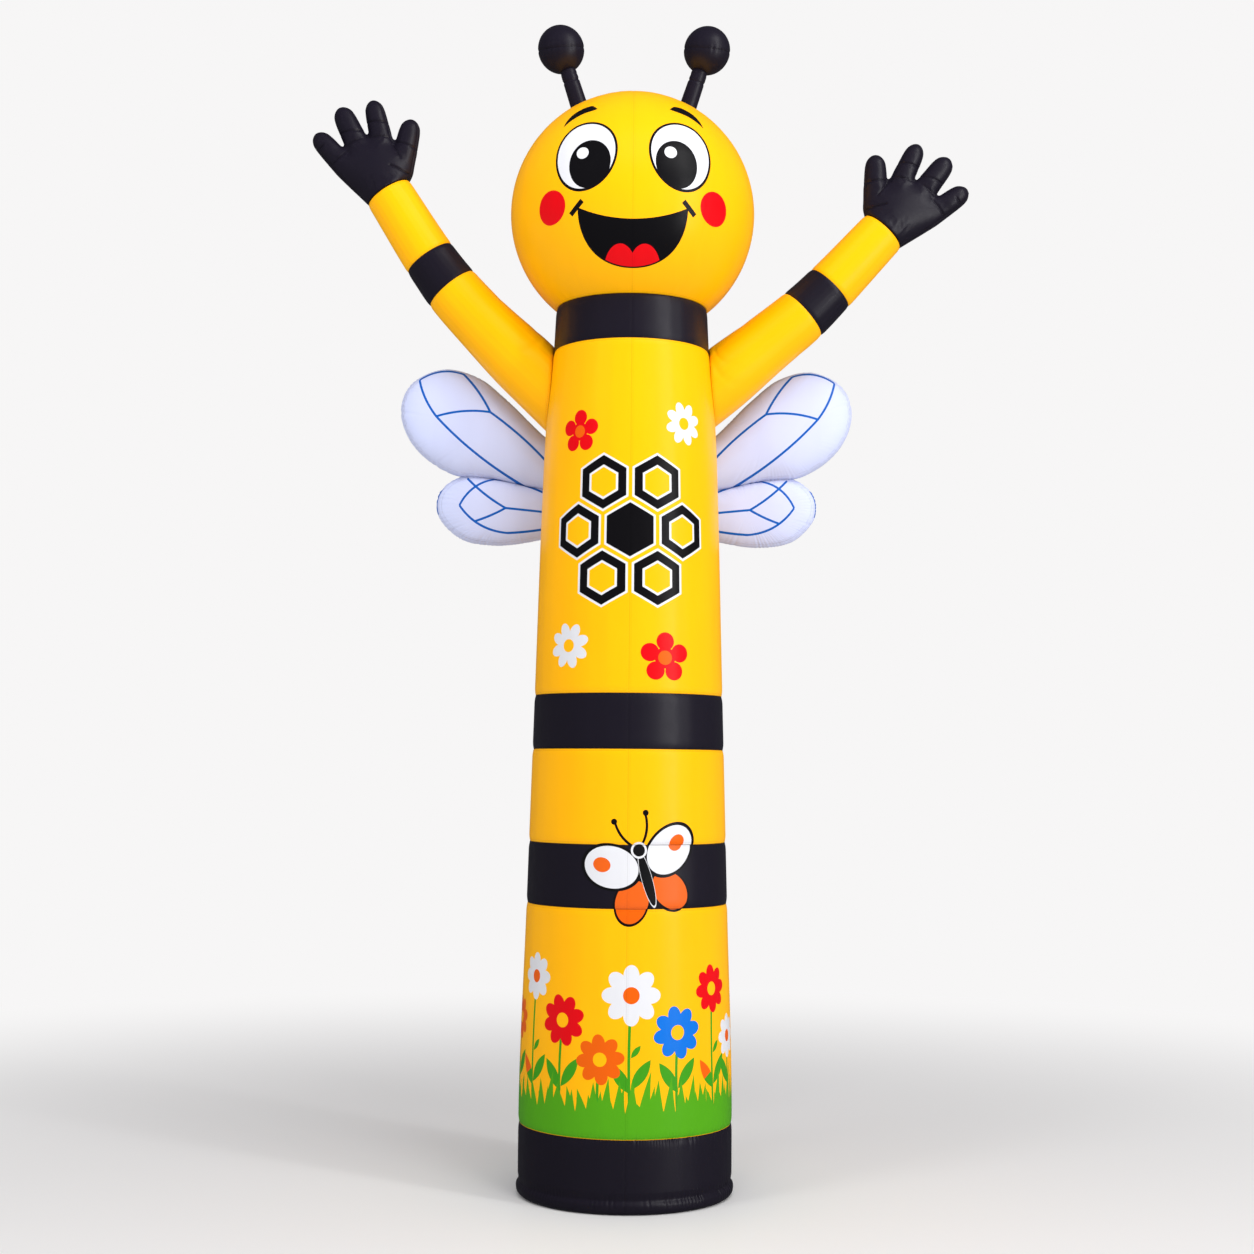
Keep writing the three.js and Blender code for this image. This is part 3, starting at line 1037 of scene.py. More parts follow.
def worked_out(operation, swapped=False):
    """A method that places one node for two values, such as their sum, and gives its result."""
    def place_node(self, other):
        values = (other, self) if swapped else (self, other)
        return self.wiring.math(operation, *values)
    return place_node


class Signal:
    """A number, vector or colour that changes over the surface. Of two masks, & is both and | is either."""

    def __init__(self, wiring, socket):
        self.wiring = wiring
        self.socket = socket

    __add__ = worked_out("ADD")
    __sub__ = worked_out("SUBTRACT")
    __mul__ = worked_out("MULTIPLY")
    __truediv__ = worked_out("DIVIDE")
    __rsub__ = worked_out("SUBTRACT", swapped=True)
    __rtruediv__ = worked_out("DIVIDE", swapped=True)
    __pow__ = worked_out("POWER")
    __lt__ = worked_out("LESS_THAN")
    __gt__ = worked_out("GREATER_THAN")
    __and__ = worked_out("MULTIPLY")
    __or__ = worked_out("MAXIMUM")

    def __neg__(self):
        return self * -1.0

    def __abs__(self):
        return self.wiring.math("ABSOLUTE", self)


class Wiring:
    """Places nodes in a tree. An input is a number, a colour, a vector, a flat place or a signal."""

    def __init__(self, tree):
        self.tree = tree

    @classmethod
    def of(cls, owner):
        """The wiring of a material or a world, with its first nodes taken out."""
        owner.use_nodes = True
        owner.node_tree.nodes.clear()
        return cls(owner.node_tree)

    def place(self, kind, inputs=None, **settings):
        node = self.tree.nodes.new(kind)
        for key, value in settings.items():
            setattr(node, key, value)
        for key, value in (inputs or {}).items():
            if isinstance(value, Signal):
                self.tree.links.new(value.socket, node.inputs[key])
            elif isinstance(value, tuple) and len(value) == 2:
                node.inputs[key].default_value = (*value, 0)
            else:
                node.inputs[key].default_value = value
        return node

    def signals(self, kind, inputs=None, **settings):
        """All outputs of a new node, by name."""
        node = self.place(kind, inputs, **settings)
        return {socket.name: Signal(self, socket) for socket in node.outputs}

    def node(self, kind, inputs=None, output=0, **settings):
        """One output of a new node."""
        return Signal(self, self.place(kind, inputs, **settings).outputs[output])

    def math(self, operation, *values):
        """A Math node, or a Vector Math node where a value is a vector."""
        def is_vector(value):
            return isinstance(value, tuple) or isinstance(value, Signal) and value.socket.type == "VECTOR"
        kind = "ShaderNodeVectorMath" if any(map(is_vector, values)) else "ShaderNodeMath"
        return self.node(kind, dict(enumerate(values)), operation=operation)

    def split(self, vector, count=2):
        parts = self.signals("ShaderNodeSeparateXYZ", {0: vector})
        return [parts[axis] for axis in "XYZ"[:count]]

    def join(self, across, up):
        return self.node("ShaderNodeCombineXYZ", {0: across, 1: up})

    def length(self, across, up):
        return self.math("SQRT", across * across + up * up)

    def paint(self, mask, under, over, blend="MIX"):
        inputs = {0: mask, 6: under, 7: over}
        return self.node("ShaderNodeMix", inputs, output=2, data_type="RGBA", blend_type=blend)

    def effect(self, group, **inputs):
        """Places a node group. An input's name has _ for a space."""
        named = {key.replace("_", " "): value for key, value in inputs.items()}
        return self.signals("ShaderNodeGroup", named, node_tree=group)

    def motif(self, group, place, under, **inputs):
        """The colour under a printed motif, with the motif on it. An input that isn't given is 0."""
        return self.effect(group, Place=place, Under=under, **inputs)["Colour"]


socket_kinds = {"place": "NodeSocketVector", "ink": "NodeSocketColor", "size": "NodeSocketFloat"}


def effect_group(name, inputs, outputs, draw):
    """A shader node group. inputs and outputs name its sockets and their kinds, and draw wires it."""
    group = bpy.data.node_groups.new(name, "ShaderNodeTree")
    for way, sockets in (("INPUT", inputs), ("OUTPUT", outputs)):
        for label, kind in sockets.items():
            group.interface.new_socket(label, in_out=way, socket_type=socket_kinds[kind])
    w = Wiring(group)
    w.place("NodeGroupOutput", draw(w, w.signals("NodeGroupInput")))
    return group


def turned_from(w, place, middle, turn):
    """A place seen from a motif's middle, with the motif's own turn taken out."""
    inputs = {"Vector": place - middle, "Angle": -turn}
    return w.split(w.node("ShaderNodeVectorRotate", inputs, rotation_type="Z_AXIS"))


def arch(along):
    """0 at both ends of a stroke or a leaf and 1 in its middle."""
    return along * (1.0 - along) * 4.0


# Nylon weave: its threads' relief, and noises for crumples, streaks along the cloth and pale patches
thread_relief = 0.00001
crumple_noise = {"Scale": 38.0, "Detail": 4.0}
streak_noise = {"Scale": 30.0, "Detail": 3.0}
streak_stretch = (1.0, 0.16, 1.0)
patch_noise = {"Scale": 7.0, "Detail": 2.0}
tint_swing = 0.06
roughness_swing = 0.12


def draw_weave(w, given):
    place = given["Place"]
    turns = math.pi / given["Thread"]
    across, up = (abs(w.math("SINE", way * turns)) for way in w.split(place))
    crumple = w.node("ShaderNodeTexNoise", {"Vector": place, **crumple_noise})
    streak = w.node("ShaderNodeTexNoise", {"Vector": place * streak_stretch, **streak_noise})
    patches = w.node("ShaderNodeTexNoise", {"Vector": place, **patch_noise})
    return {
        "Height": (across + up) * thread_relief + (crumple + streak) * given["Crumple"],
        "Tint": (streak + patches) * tint_swing + (1 - tint_swing),
        "Roughness": crumple * roughness_swing + given["Roughness"],
    }


# Sewn seam: a sunk line darkened with painted shade, and a row of darker stitches beside it
seam_line_width = 0.0010
seam_sink = 0.00025
stitch_distance = 0.0038
stitch_width = 0.0006
stitch_pitch = 0.0034
stitch_cut = -0.35
stitch_sink_share = 0.5


def draw_seam(w, given):
    distance, run, strength = w.split(given["Seam"], 3)

    def band(middle, width):
        off = (distance - middle) / width
        return w.math("EXPONENT", -(off * off))

    line = band(0.0, seam_line_width)
    dashes = w.math("SINE", run * (2 * math.pi / stitch_pitch)) > stitch_cut
    stitches = band(stitch_distance, stitch_width) & dashes
    shade = stitches * given["Thread shade"] + line * given["Line shade"]
    sunk = (stitches * stitch_sink_share + line) * -seam_sink
    return {"Shade": shade * strength, "Height": sunk * strength}


# A blossom's parts, as shares of its size
petal_middle = 0.64
petal_half_length = 0.36
petal_root = 0.42
heart_radius = 0.28


def draw_blossom(w, given):
    ways = turned_from(w, given["Place"], given["Middle"], given["Turn"])
    across, up = (way / given["Size"] for way in ways)
    far = w.length(across, up)
    half = math.pi / given["Petals"]
    angle = w.math("WRAP", w.math("ARCTAN2", up, across), half, -half)
    along = (far * w.math("COSINE", angle) - petal_middle) / petal_half_length
    aside = far * w.math("SINE", angle) / given["Petal width"]
    petal = (w.length(along, aside) < 1.0) | (far < petal_root)
    colour = w.paint(petal, given["Under"], given["Petal ink"])
    return w.paint(far < heart_radius, colour, given["Heart ink"])


def draw_leaf(w, given):
    along, aside = turned_from(w, given["Place"], given["Foot"], given["Lean"])
    along = along / given["Length"]
    blade = abs(aside) < arch(along) * given["Half width"]
    colour = w.paint(blade, given["Under"], given["Ink"])
    return w.paint(blade & (along > given["Tip from"]), colour, given["Tip ink"])


# A tapered stroke swells fast from its start, thins slowly to its end, and is 1 at its widest.
# Each stroke runs a little past both its ends.
swell_at_start = 0.15
swell_at_end = 0.8
swell_scale = 1.51
stroke_half = 0.505


def draw_stroke(w, given):
    way = w.split(given["End"] - given["Start"])
    across, up = w.split(given["Place"] - given["Start"])
    square = way[0] * way[0] + way[1] * way[1]
    along = (across * way[0] + up * way[1]) / square
    off = (up * way[0] - across * way[1]) / w.math("SQRT", square)
    off = abs(off - arch(along) * given["Bow"])
    swell = along ** swell_at_start * (1.0 - along) ** swell_at_end * swell_scale
    wide = given["Taper"] * (swell - 1.0) + 1.0
    within = w.math("COMPARE", along, 0.5, stroke_half)
    return w.paint(within & (off < wide * given["Half width"]), given["Under"], given["Ink"])


def draw_oval(w, given):
    across, up = turned_from(w, given["Place"], given["Middle"], given["Turn"])
    far = w.length(across / given["Half width"], up / given["Half height"])
    in_rim = far < given["Rim"] / given["Half height"] + 1.0
    return w.paint(far < 1.0, w.paint(in_rim, given["Under"], given["Rim ink"]), given["Ink"])


# Blades of grass: how much their heights differ, how far they lean, and how they bend
blade_spread = 0.6
blade_lean = 1.2
blade_bend = 1.5


def draw_grass(w, given):
    across, up = w.split(given["Place"])
    blades = across / given["Blade width"]
    number = w.math("WRAP", w.math("FLOOR", blades), given["Blades round"], 0.0)
    chance = w.signals("ShaderNodeTexWhiteNoise", {"W": number + given["Seed"]}, noise_dimensions="1D")
    tall = given["Blade height"] * (chance["Value"] * blade_spread + (1 - blade_spread))
    share = (up - given["Foot"]) / tall
    lean = w.split(chance["Color"])[0] * (2 * blade_lean) - blade_lean
    bend = lean * w.math("MAXIMUM", share, 0.0) ** blade_bend
    off = abs(w.math("FRACT", blades) * 2.0 - 1.0 - bend)
    blade = (share + off < 1.0) | (share < 0.0)
    return w.paint(blade, given["Under"], given["Ink"])


# Honeycomb: half a repeat of its two rows of cells, and the edges of a cell's rings as shares of its width
comb_half = (0.5, math.sqrt(3) / 2, 0.0)
cell_rings = [(0.235, 0.465, "Edge ink"), (0.275, 0.425, "Ink")]
filled_cell = 0.425
heart_reach = 0.5
cluster_reach = 1.2


def draw_honeycomb(w, given):
    """Six open cells round a filled one."""
    away = (given["Place"] - given["Middle"]) / given["Cell"]
    minus_half = tuple(-value for value in comb_half)
    first = w.math("WRAP", away, comb_half, minus_half)
    second = w.math("WRAP", away - comb_half, comb_half, minus_half)
    first_is_nearer = w.length(*w.split(first)) < w.length(*w.split(second))
    cell = w.node("ShaderNodeMix", {0: first_is_nearer, 4: second, 5: first}, output=1, data_type="VECTOR")
    cell_middle = w.length(*w.split(away - cell))
    across, up = (abs(way) for way in w.split(cell))
    far = w.math("MAXIMUM", across, across * comb_half[0] + up * comb_half[1])
    in_cluster = cell_middle < cluster_reach
    colour = given["Under"]
    for inner, outer, ink in cell_rings:
        colour = w.paint(in_cluster & (far < outer) & (far > inner), colour, given[ink])
    return w.paint((cell_middle < heart_reach) & (far < filled_cell), colour, given["Ink"])


# Ovals of the butterfly's right side, in shares of its half span:
# (place, half width, half height, turn, rim, ink, rim ink)
butterfly_ovals = [
    ((0.34, -0.40), 0.27, 0.36, 0.55, 0.045, "Lower ink", "Line ink"),
    ((0.52, 0.24), 0.46, 0.34, 0.50, 0.045, "Upper ink", "Line ink"),
    ((0.66, 0.32), 0.15, 0.12, 0.50, 0.0, "Lower ink", "Line ink"),
    ((0.27, 0.94), 0.05, 0.05, 0.0, 0.0, "Line ink", "Line ink"),
    ((0.00, -0.12), 0.085, 0.44, 0.0, 0.035, "Line ink", "Upper ink"),
    ((0.00, 0.38), 0.10, 0.10, 0.0, 0.035, "Line ink", "Upper ink"),
]
butterfly_feeler = ((0.03, 0.42), (0.26, 0.92))
butterfly_feeler_bow = 0.06
butterfly_feeler_half_width = 0.022


def mirrored(place, side):
    return side * place[0], place[1]


def draw_butterfly(w, given):
    """A plain butterfly from ovals and strokes."""
    across, up = turned_from(w, given["Place"], given["Middle"], given["Turn"])
    place = w.join(across / given["Span"], up / given["Span"])
    colour = given["Under"]
    for side in (-1, 1):
        start, end = (mirrored(spot, side) for spot in butterfly_feeler)
        colour = w.motif(stroke, place, colour, Start=start, End=end, Bow=-side * butterfly_feeler_bow,
                         Half_width=butterfly_feeler_half_width, Ink=given["Line ink"])
    for middle, half_width, half_height, turn, rim, ink, rim_ink in butterfly_ovals:
        for side in (-1, 1):
            colour = w.motif(oval, place, colour, Middle=mirrored(middle, side), Half_width=half_width,
                             Half_height=half_height, Turn=side * turn, Rim=rim, Ink=given[ink],
                             Rim_ink=given[rim_ink])
    return colour


# A smile's tongue, as shares of the smile's half width and depth: two round lobes inside the mouth's edge
tongue_height = 0.40
tongue_lobe = 0.22
tongue_half_width = 0.28
tongue_edge = 0.95


def draw_smile(w, given):
    across, up = w.split(given["Place"] - given["Middle"])
    side = across / given["Half width"]
    deep = up / given["Depth"]
    lip = (side * side - 1.0) * given["Sag"]
    bowl = side * side + deep * deep
    mouth = (bowl < 1.0) & (up < lip)
    tongue = w.length((deep + 1.0) / tongue_height, (abs(side) - tongue_lobe) / tongue_half_width)
    colour = w.paint(mouth, given["Under"], given["Ink"])
    return w.paint(mouth & (bowl < tongue_edge) & (tongue < 1.0), colour, given["Tongue ink"])


def motif_group(name, draw, places=(), sizes=(), inks=("Ink",)):
    """A printed motif: from a place on the cloth and the colour under it, it gives the printed colour."""
    inputs = {"Place": "place", "Under": "ink"}
    for labels, kind in ((places, "place"), (sizes, "size"), (inks, "ink")):
        inputs.update({label: kind for label in labels})
    return effect_group(name, inputs, {"Colour": "ink"}, lambda w, given: {"Colour": draw(w, given)})


weave = effect_group(
    "nylon weave", {"Place": "place", "Thread": "size", "Crumple": "size", "Roughness": "size"},
    {"Height": "size", "Tint": "size", "Roughness": "size"}, draw_weave,
)
sewn_seam = effect_group(
    "sewn seam", {"Seam": "place", "Line shade": "size", "Thread shade": "size"},
    {"Shade": "size", "Height": "size"}, draw_seam,
)
blossom = motif_group(
    "blossom", draw_blossom, ["Middle"], ["Size", "Turn", "Petals", "Petal width"],
    ["Petal ink", "Heart ink"],
)
leaf = motif_group(
    "leaf", draw_leaf, ["Foot"], ["Lean", "Length", "Half width", "Tip from"], ["Ink", "Tip ink"]
)
stroke = motif_group("stroke", draw_stroke, ["Start", "End"], ["Bow", "Half width", "Taper"])
oval = motif_group(
    "oval", draw_oval, ["Middle"], ["Half width", "Half height", "Turn", "Rim"], ["Ink", "Rim ink"]
)
grass = motif_group(
    "grass", draw_grass, [], ["Foot", "Blade height", "Blade width", "Blades round", "Seed"]
)
honeycomb = motif_group("honeycomb", draw_honeycomb, ["Middle"], ["Cell"], ["Ink", "Edge ink"])
butterfly = motif_group(
    "butterfly", draw_butterfly, ["Middle"], ["Span", "Turn"], ["Upper ink", "Lower ink", "Line ink"]
)
smile = motif_group("smile", draw_smile, ["Middle"], ["Half width", "Depth", "Sag"], ["Ink", "Tongue ink"])


# Cloths

thread_size = 0.0009
crumple_height = 0.00009
seam_line_shade = 0.45
seam_thread_shade = 0.3


def cloth(name, base, finish, print_on=None):
    """Coated nylon cloth: weave, uneven tint, seams with painted shade along them and, if given, a print.
    """
    material = bpy.data.materials.new(name)
    w = Wiring.of(material)
    roughness, gloss = finish
    place = w.node("ShaderNodeUVMap", uv_map=cloth_map)
    seam = w.node("ShaderNodeAttribute", output="Vector", attribute_name="seam")
    woven = w.effect(weave, Place=place, Thread=thread_size, Crumple=crumple_height, Roughness=roughness)
    sewn = w.effect(sewn_seam, Seam=seam, Line_shade=seam_line_shade, Thread_shade=seam_thread_shade)
    colour = print_on(w, place, base) if print_on else base
    tint = w.node("ShaderNodeCombineColor", {channel: woven["Tint"] for channel in range(3)})
    colour = w.paint(1.0, colour, tint, "MULTIPLY")
    # Painted shade along the seam lines and the hands' creases, and darker stitches beside the seams
    colour = w.paint(sewn["Shade"], colour, seam_shade_tint, "MULTIPLY")
    height = woven["Height"] + sewn["Height"]
    bump = w.node("ShaderNodeBump", {"Strength": 1.0, "Distance": 1.0, "Height": height})
    shader = w.node("ShaderNodeBsdfPrincipled", {
        "Base Color": colour, "Roughness": woven["Roughness"], "Normal": bump, "Specular IOR Level": gloss,
    })
    w.place("ShaderNodeOutputMaterial", {0: shader})
    return material


# Meadow print: (across, height, size, turn, ink) for the daisies; it repeats twice round the column
meadow_daisies = [
    (-0.292, 0.352, 0.043, 0.2, orange_ink),
    (-0.214, 0.440, 0.046, 0.0, white_ink),
    (-0.132, 0.362, 0.050, 0.3, red_ink),
    (-0.050, 0.292, 0.048, 0.1, orange_ink),
    (0.010, 0.414, 0.058, 0.0, white_ink),
    (0.104, 0.342, 0.051, 0.2, blue_ink),
    (0.196, 0.420, 0.047, 0.1, red_ink),
    (0.262, 0.322, 0.043, 0.0, white_ink),
]
daisy_petals = 8.0
daisy_petal_width = 0.27
meadow_foot = 0.1424
stem_foot = 0.160
stem_bow = 0.004
stem_half_width = 0.0028
# Leaves on the stems: (height on the stem, lean in degrees, length, half width)
stem_leaves = [(0.236, 56, 0.068, 0.0110), (0.228, 124, 0.070, 0.0115), (0.296, 52, 0.030, 0.0055)]
leaf_margin = 0.09
# On two of the stems the leaf that leans left, past 90 degrees, has an orange tip
tipped_stems = (1, 6)
orange_tip_from = 0.45
no_tip = 1.0
# Grass: (foot, blade height, blades in half a turn, seed)
grass_layers = [
    (0.192, 0.084, 27.0, 5.0),
    (0.188, 0.062, 34.0, 17.0),
]
butterfly_middle = (0.035, 0.648)
butterfly_span = 0.118
butterfly_turn = 0.28


def print_butterfly(w, place, under):
    return w.motif(butterfly, place, under, Middle=butterfly_middle, Span=butterfly_span,
                   Turn=butterfly_turn, Upper_ink=white_ink, Lower_ink=orange_ink, Line_ink=black_ink)


def print_meadow(w, place, under):
    half_turn = math.pi * panel_radius("meadow_panel")
    across, up = w.split(place)
    spot = w.join(w.math("WRAP", across, half_turn / 2, -half_turn / 2), up)
    colour = under
    for number, (stem, height, _, _, _) in enumerate(meadow_daisies):
        colour = w.motif(stroke, spot, colour, Start=(stem, stem_foot), End=(stem, height), Bow=stem_bow,
                         Half_width=stem_half_width, Ink=leaf_ink)
        for foot, lean, length, half_width in stem_leaves:
            if foot + leaf_margin < height:
                tipped = number in tipped_stems and lean > 90
                colour = w.motif(leaf, spot, colour, Foot=(stem, foot), Lean=math.radians(lean),
                                 Length=length, Half_width=half_width, Ink=leaf_ink, Tip_ink=orange_ink,
                                 Tip_from=orange_tip_from if tipped else no_tip)
    for foot, tall, count, seed in grass_layers:
        colour = w.motif(grass, place, colour, Foot=foot, Blade_height=tall, Blade_width=half_turn / count,
                         Blades_round=count, Seed=seed, Ink=green_ink)
    for stem, height, size, turn, ink in meadow_daisies:
        colour = w.motif(blossom, spot, colour, Middle=(stem, height), Size=size, Turn=turn,
                         Petals=daisy_petals, Petal_width=daisy_petal_width, Petal_ink=ink,
                         Heart_ink=orange_ink if ink == white_ink else under)
    colour = w.paint(up < meadow_foot, colour, under)
    return print_butterfly(w, place, colour)


# Chest print: (across, height, size, petals, petal width, ink)
chest_blossoms = [
    (-0.112, 1.518, 0.044, 5.0, 0.36, red_ink),
    (0.118, 1.536, 0.044, 8.0, 0.24, white_ink),
    (-0.125, 1.090, 0.046, 8.0, 0.24, white_ink),
    (0.070, 1.066, 0.050, 5.0, 0.36, red_ink),
]
chest_blossom_turn = 0.3
comb_middle = (0.0, 1.318)
comb_cell = 0.110


def print_chest(w, place, under):
    colour = w.motif(honeycomb, place, under, Middle=comb_middle, Cell=comb_cell, Ink=black_ink,
                     Edge_ink=white_ink)
    for across, height, size, petals, width, ink in chest_blossoms:
        colour = w.motif(blossom, place, colour, Middle=(across, height), Size=size,
                         Turn=chest_blossom_turn, Petals=petals, Petal_width=width, Petal_ink=ink,
                         Heart_ink=under if ink == white_ink else orange_ink)
    return colour


# Face print, for its right side: (place, half width, half height, turn, rim, ink)
face_ovals = [
    ((0.176, -0.039), 0.035, 0.034, 0.10, 0.0, red_ink),
    ((0.0985, 0.062), 0.0625, 0.0740, 0.20, 0.0058, white_ink),
    ((0.0885, 0.0395), 0.0440, 0.0515, 0.14, 0.0, black_ink),
]
eye_glints = [(-0.103, 0.063), (0.075, 0.063)]
glint_radius = 0.013
# Strokes of its right side: (start, end, bow, half width, taper)
smile_corner = ((0.103, -0.035), (0.128, -0.060), 0.0, 0.0052, 0.0)
brow = ((0.079, 0.193), (0.153, 0.142), 0.011, 0.0125, 1.0)
smile_middle = (0.0, -0.047)
smile_half_width = 0.113
smile_depth = 0.127
smile_sag = 0.028


def print_face(w, place, under):
    """A plain smiling face: oval eyes, brows, round cheeks and an open smile."""
    colour = w.motif(smile, place, under, Middle=smile_middle, Half_width=smile_half_width,
                     Depth=smile_depth, Sag=smile_sag, Ink=black_ink, Tongue_ink=red_ink)
    for side in (-1, 1):
        for start, end, bow, half_width, taper in (smile_corner, brow):
            colour = w.motif(stroke, place, colour, Start=mirrored(start, side), End=mirrored(end, side),
                             Bow=side * bow, Half_width=half_width, Taper=taper, Ink=black_ink)
        for middle, half_width, half_height, turn, rim, ink in face_ovals:
            colour = w.motif(oval, place, colour, Middle=mirrored(middle, side), Half_width=half_width,
                             Half_height=half_height, Turn=side * turn, Rim=rim, Ink=ink, Rim_ink=black_ink)
    for glint in eye_glints:
        colour = w.motif(oval, place, colour, Middle=glint, Half_width=glint_radius,
                         Half_height=glint_radius, Ink=white_ink, Rim_ink=white_ink)
    return colour


# Wing veins: (start, end, bow), as places out from the middle and heights
upper_veins = [
    ((0.441, 1.669), (0.349, 1.681), -0.012),
    ((0.349, 1.681), (0.291, 1.596), -0.004),
    ((0.441, 1.669), (0.403, 1.587), 0.005),
    ((0.403, 1.587), (0.291, 1.596), -0.006),
    ((0.291, 1.596), (0.120, 1.426), -0.010),
    ((0.403, 1.587), (0.152, 1.412), 0.018),
]
lower_veins = [
    ((0.354, 1.401), (0.282, 1.459), -0.011),
    ((0.282, 1.459), (0.150, 1.412), -0.009),
    ((0.339, 1.460), (0.258, 1.395), 0.004),
    ((0.258, 1.395), (0.120, 1.382), 0.0),
    ((0.354, 1.401), (0.254, 1.343), 0.014),
    ((0.254, 1.343), (0.120, 1.366), 0.004),
    ((0.322, 1.367), (0.258, 1.395), 0.002),
]
# A short vein on the front of the lower wing's rim, where the cloth turns to the back
rim_vein = ((0.3905, 1.440), (0.4005, 1.384), 0.0075)
rim_turn = 0.3
vein_half_width = 0.0024


def print_veins(w, place, under, veins):
    for start, end, bow in veins:
        under = w.motif(stroke, place, under, Start=start, End=end, Bow=bow, Half_width=vein_half_width,
                        Ink=vein_ink)
    return under


def print_upper_wing(w, place, under):
    return print_veins(w, place, under, upper_veins)


def print_lower_wing(w, place, under):
    colour = print_veins(w, place, under, lower_veins)
    _, to_back = w.split(w.node("ShaderNodeNewGeometry", output="Normal"))
    return w.paint(to_back < -rim_turn, colour, print_veins(w, place, colour, [rim_vein]))


# Finishes: (roughness, gloss)
yellow_finish = (0.28, 0.13)
black_finish = (0.36, 0.33)
wing_finish = (0.38, 0.20)
cloths = {
    "yellow": cloth("yellow nylon", yellow_dye, yellow_finish),
    "black": cloth("black nylon", black_dye, black_finish),
    "meadow_panel": cloth("meadow print", yellow_dye, yellow_finish, print_meadow),
    "lower_stripe": cloth("black nylon with butterfly", black_dye, black_finish, print_butterfly),
    "belly_panel": cloth("yellow nylon with butterfly", yellow_dye, yellow_finish, print_butterfly),
    "chest_panel": cloth("honeycomb print", yellow_dye, yellow_finish, print_chest),
    "head": cloth("face print", yellow_dye, yellow_finish, print_face),
    "upper_wing": cloth("upper wing print", wing_dye, wing_finish, print_upper_wing),
    "lower_wing": cloth("lower wing print", wing_dye, wing_finish, print_lower_wing),
}


# The bee

# Seeds of the left side; the right side's are one more
sleeve_seeds = {"upper_arm": 51, "armband": 53, "forearm": 55}
wing_seeds = {"upper_wing": 61, "lower_wing": 63}


def make_arm(side, number):
    wrist = ArmLine(side).length
    band_top = wrist - forearm_length
    band_bottom = band_top - armband_width
    for sleeve, start, end, colour in (
        ("upper_arm", None, band_bottom, "yellow"),
        ("armband", band_bottom + seam_gap, band_top, "black"),
        ("forearm", band_top + seam_gap, wrist, "yellow"),
    ):
        node = f"{sleeve}_{side}"
        skin = sleeve_skin(node, side, start, end, sleeve_seeds[sleeve] + number)
        dress(skin, node, cloths[colour])
    dress(hand_skin(side), f"hand_{side}", cloths["black"])


def make_wings(side, number):
    """The lower wing presses up against the upper one, and takes its shape there."""
    wall = column_cutter()
    press = wing_pillow("upper_wing_cutter", "upper_wing", side, grow=seam_gap)
    for wing, cutters in (("upper_wing", [wall]), ("lower_wing", [wall, press])):
        skin = wing_skin(wing, side, cutters, wing_seeds[wing] + number)
        dress(skin, f"{wing}_{side}", cloths[wing])
    for cutter in (wall, press):
        bpy.data.objects.remove(cutter)


def make_bee():
    for node, sides, colour in column_panels:
        dress(column_panel(node, sides), node, cloths.get(node, cloths[colour]))
    dress(head_skin(), "head", cloths["head"])
    for number, side in enumerate(("left", "right")):
        dress(stalk_skin(side), f"feeler_stalk_{side}", cloths["black"])
        dress(ball_skin(side), f"feeler_ball_{side}", cloths["black"])
        make_arm(side, number)
        make_wings(side, number)


# Studio and camera

# The photograph's view: its image is square, and its lens in millimetres is given for this sensor
camera_place = (-0.0045, -3.9565, 0.8509)
camera_pitch = math.radians(4.159)
camera_roll = math.radians(0.485)
camera_lens = 55.44
camera_sensor = 36


def make_camera():
    level_right = Vector((1, 0, 0))
    level_up = Vector((0, -math.sin(camera_pitch), math.cos(camera_pitch)))
    ahead = Vector((0, math.cos(camera_pitch), math.sin(camera_pitch)))
    right = math.cos(camera_roll) * level_right + math.sin(camera_roll) * level_up
    up = -math.sin(camera_roll) * level_right + math.cos(camera_roll) * level_up
    data = bpy.data.cameras.new("camera")
    data.sensor_width = camera_sensor
    data.lens = camera_lens
    camera = in_scene("camera", data)
    facing = Matrix((right, up, -ahead)).transposed().to_4x4()
    camera.matrix_world = Matrix.Translation(camera_place) @ facing
    bpy.context.scene.camera = camera


# Soft lights: (name, place, aim, width, height, watts, mirrored in the cloth)
studio_lights = [
    ("key", (2.5, -4.7, 2.9), (0, 0, 1.6), 1.8, 2.6, 76, False),
    ("side strip", (4.3, -3.4, 2.1), (0, 0, 2.0), 0.45, 4.0, 98, True),
    ("high side", (3.6, -2.9, 5.6), (0, 0, 1.9), 1.6, 2.2, 70, True),
    ("fill", (-2.3, -2.2, 3.2), (0, 0, 2.1), 0.9, 2.2, 33, False),
    ("top", (0.3, -2.2, 4.3), (0, 0, 1.2), 2.4, 1.8, 52, False),
]
backdrop_tone = dye(247, 246, 246)
ambient_tone = (0.54, 0.54, 0.55, 1)
mirrored_tone = (0.08, 0.08, 0.09, 1)
floor_tone = (0.92, 0.91, 0.905, 1)
floor_roughness = 0.32
floor_reach = 40.0
floor_sides = 96
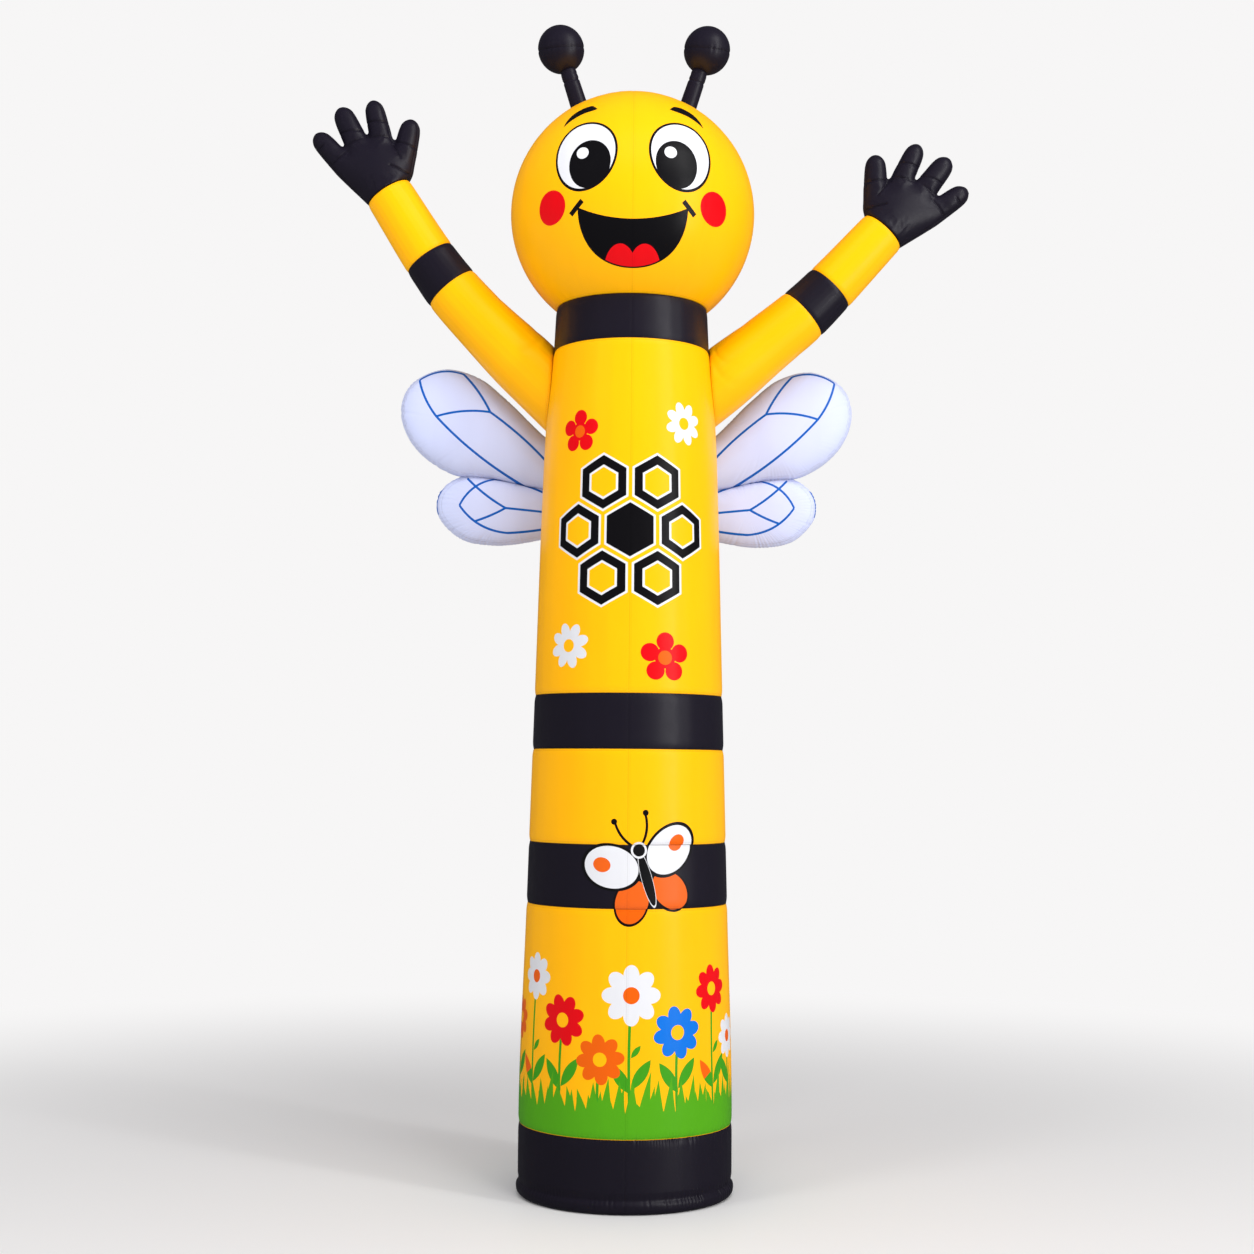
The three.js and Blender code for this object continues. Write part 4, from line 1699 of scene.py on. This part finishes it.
floor_fade = {"From Min": 0.6, "From Max": 3.6}


def make_floor():
    """A pale floor that fades into the backdrop a few metres away."""
    turns = np.linspace(0, 2 * math.pi, floor_sides, endpoint=False)
    rim = [(floor_reach * math.cos(t), floor_reach * math.sin(t), 0) for t in turns]
    mesh = bpy.data.meshes.new("floor")
    mesh.from_pydata(rim, [], [range(floor_sides)])
    material = bpy.data.materials.new("pale floor")
    w = Wiring.of(material)
    place = w.node("ShaderNodeNewGeometry", output="Position")
    away = w.node("ShaderNodeVectorMath", {0: place}, output="Value", operation="LENGTH")
    fade = w.node("ShaderNodeMapRange", {"Value": away, **floor_fade}, interpolation_type="SMOOTHSTEP")
    in_mirror = w.node("ShaderNodeLightPath", output="Is Glossy Ray")
    shader = w.node("ShaderNodeBsdfPrincipled", {"Base Color": floor_tone, "Roughness": floor_roughness})
    for share, tone in ((fade, backdrop_tone), (in_mirror, mirrored_tone)):
        plain = w.node("ShaderNodeEmission", {"Color": tone})
        shader = w.node("ShaderNodeMixShader", {0: share, 1: shader, 2: plain})
    w.place("ShaderNodeOutputMaterial", {0: shader})
    mesh.materials.append(material)
    in_scene("floor", mesh)


def make_studio():
    make_floor()
    world = bpy.data.worlds.new("studio")
    w = Wiring.of(world)
    ray = w.signals("ShaderNodeLightPath")
    colour = w.paint(ray["Is Glossy Ray"], ambient_tone, mirrored_tone)
    colour = w.paint(ray["Is Camera Ray"], colour, backdrop_tone)
    w.place("ShaderNodeOutputWorld", {0: w.node("ShaderNodeBackground", {"Color": colour})})
    bpy.context.scene.world = world
    for name, place, aim, width, height, watts, in_mirror in studio_lights:
        data = bpy.data.lights.new(name, "AREA")
        data.shape = "RECTANGLE"
        data.size = width
        data.size_y = height
        data.energy = watts
        light = in_scene(name, data)
        light.location = place
        light.visible_camera = False
        light.visible_glossy = in_mirror
        light.rotation_euler = (Vector(aim) - Vector(place)).to_track_quat("-Z", "Y").to_euler()
    bpy.context.scene.view_settings.view_transform = "Standard"


make_camera()
make_bee()
make_studio()
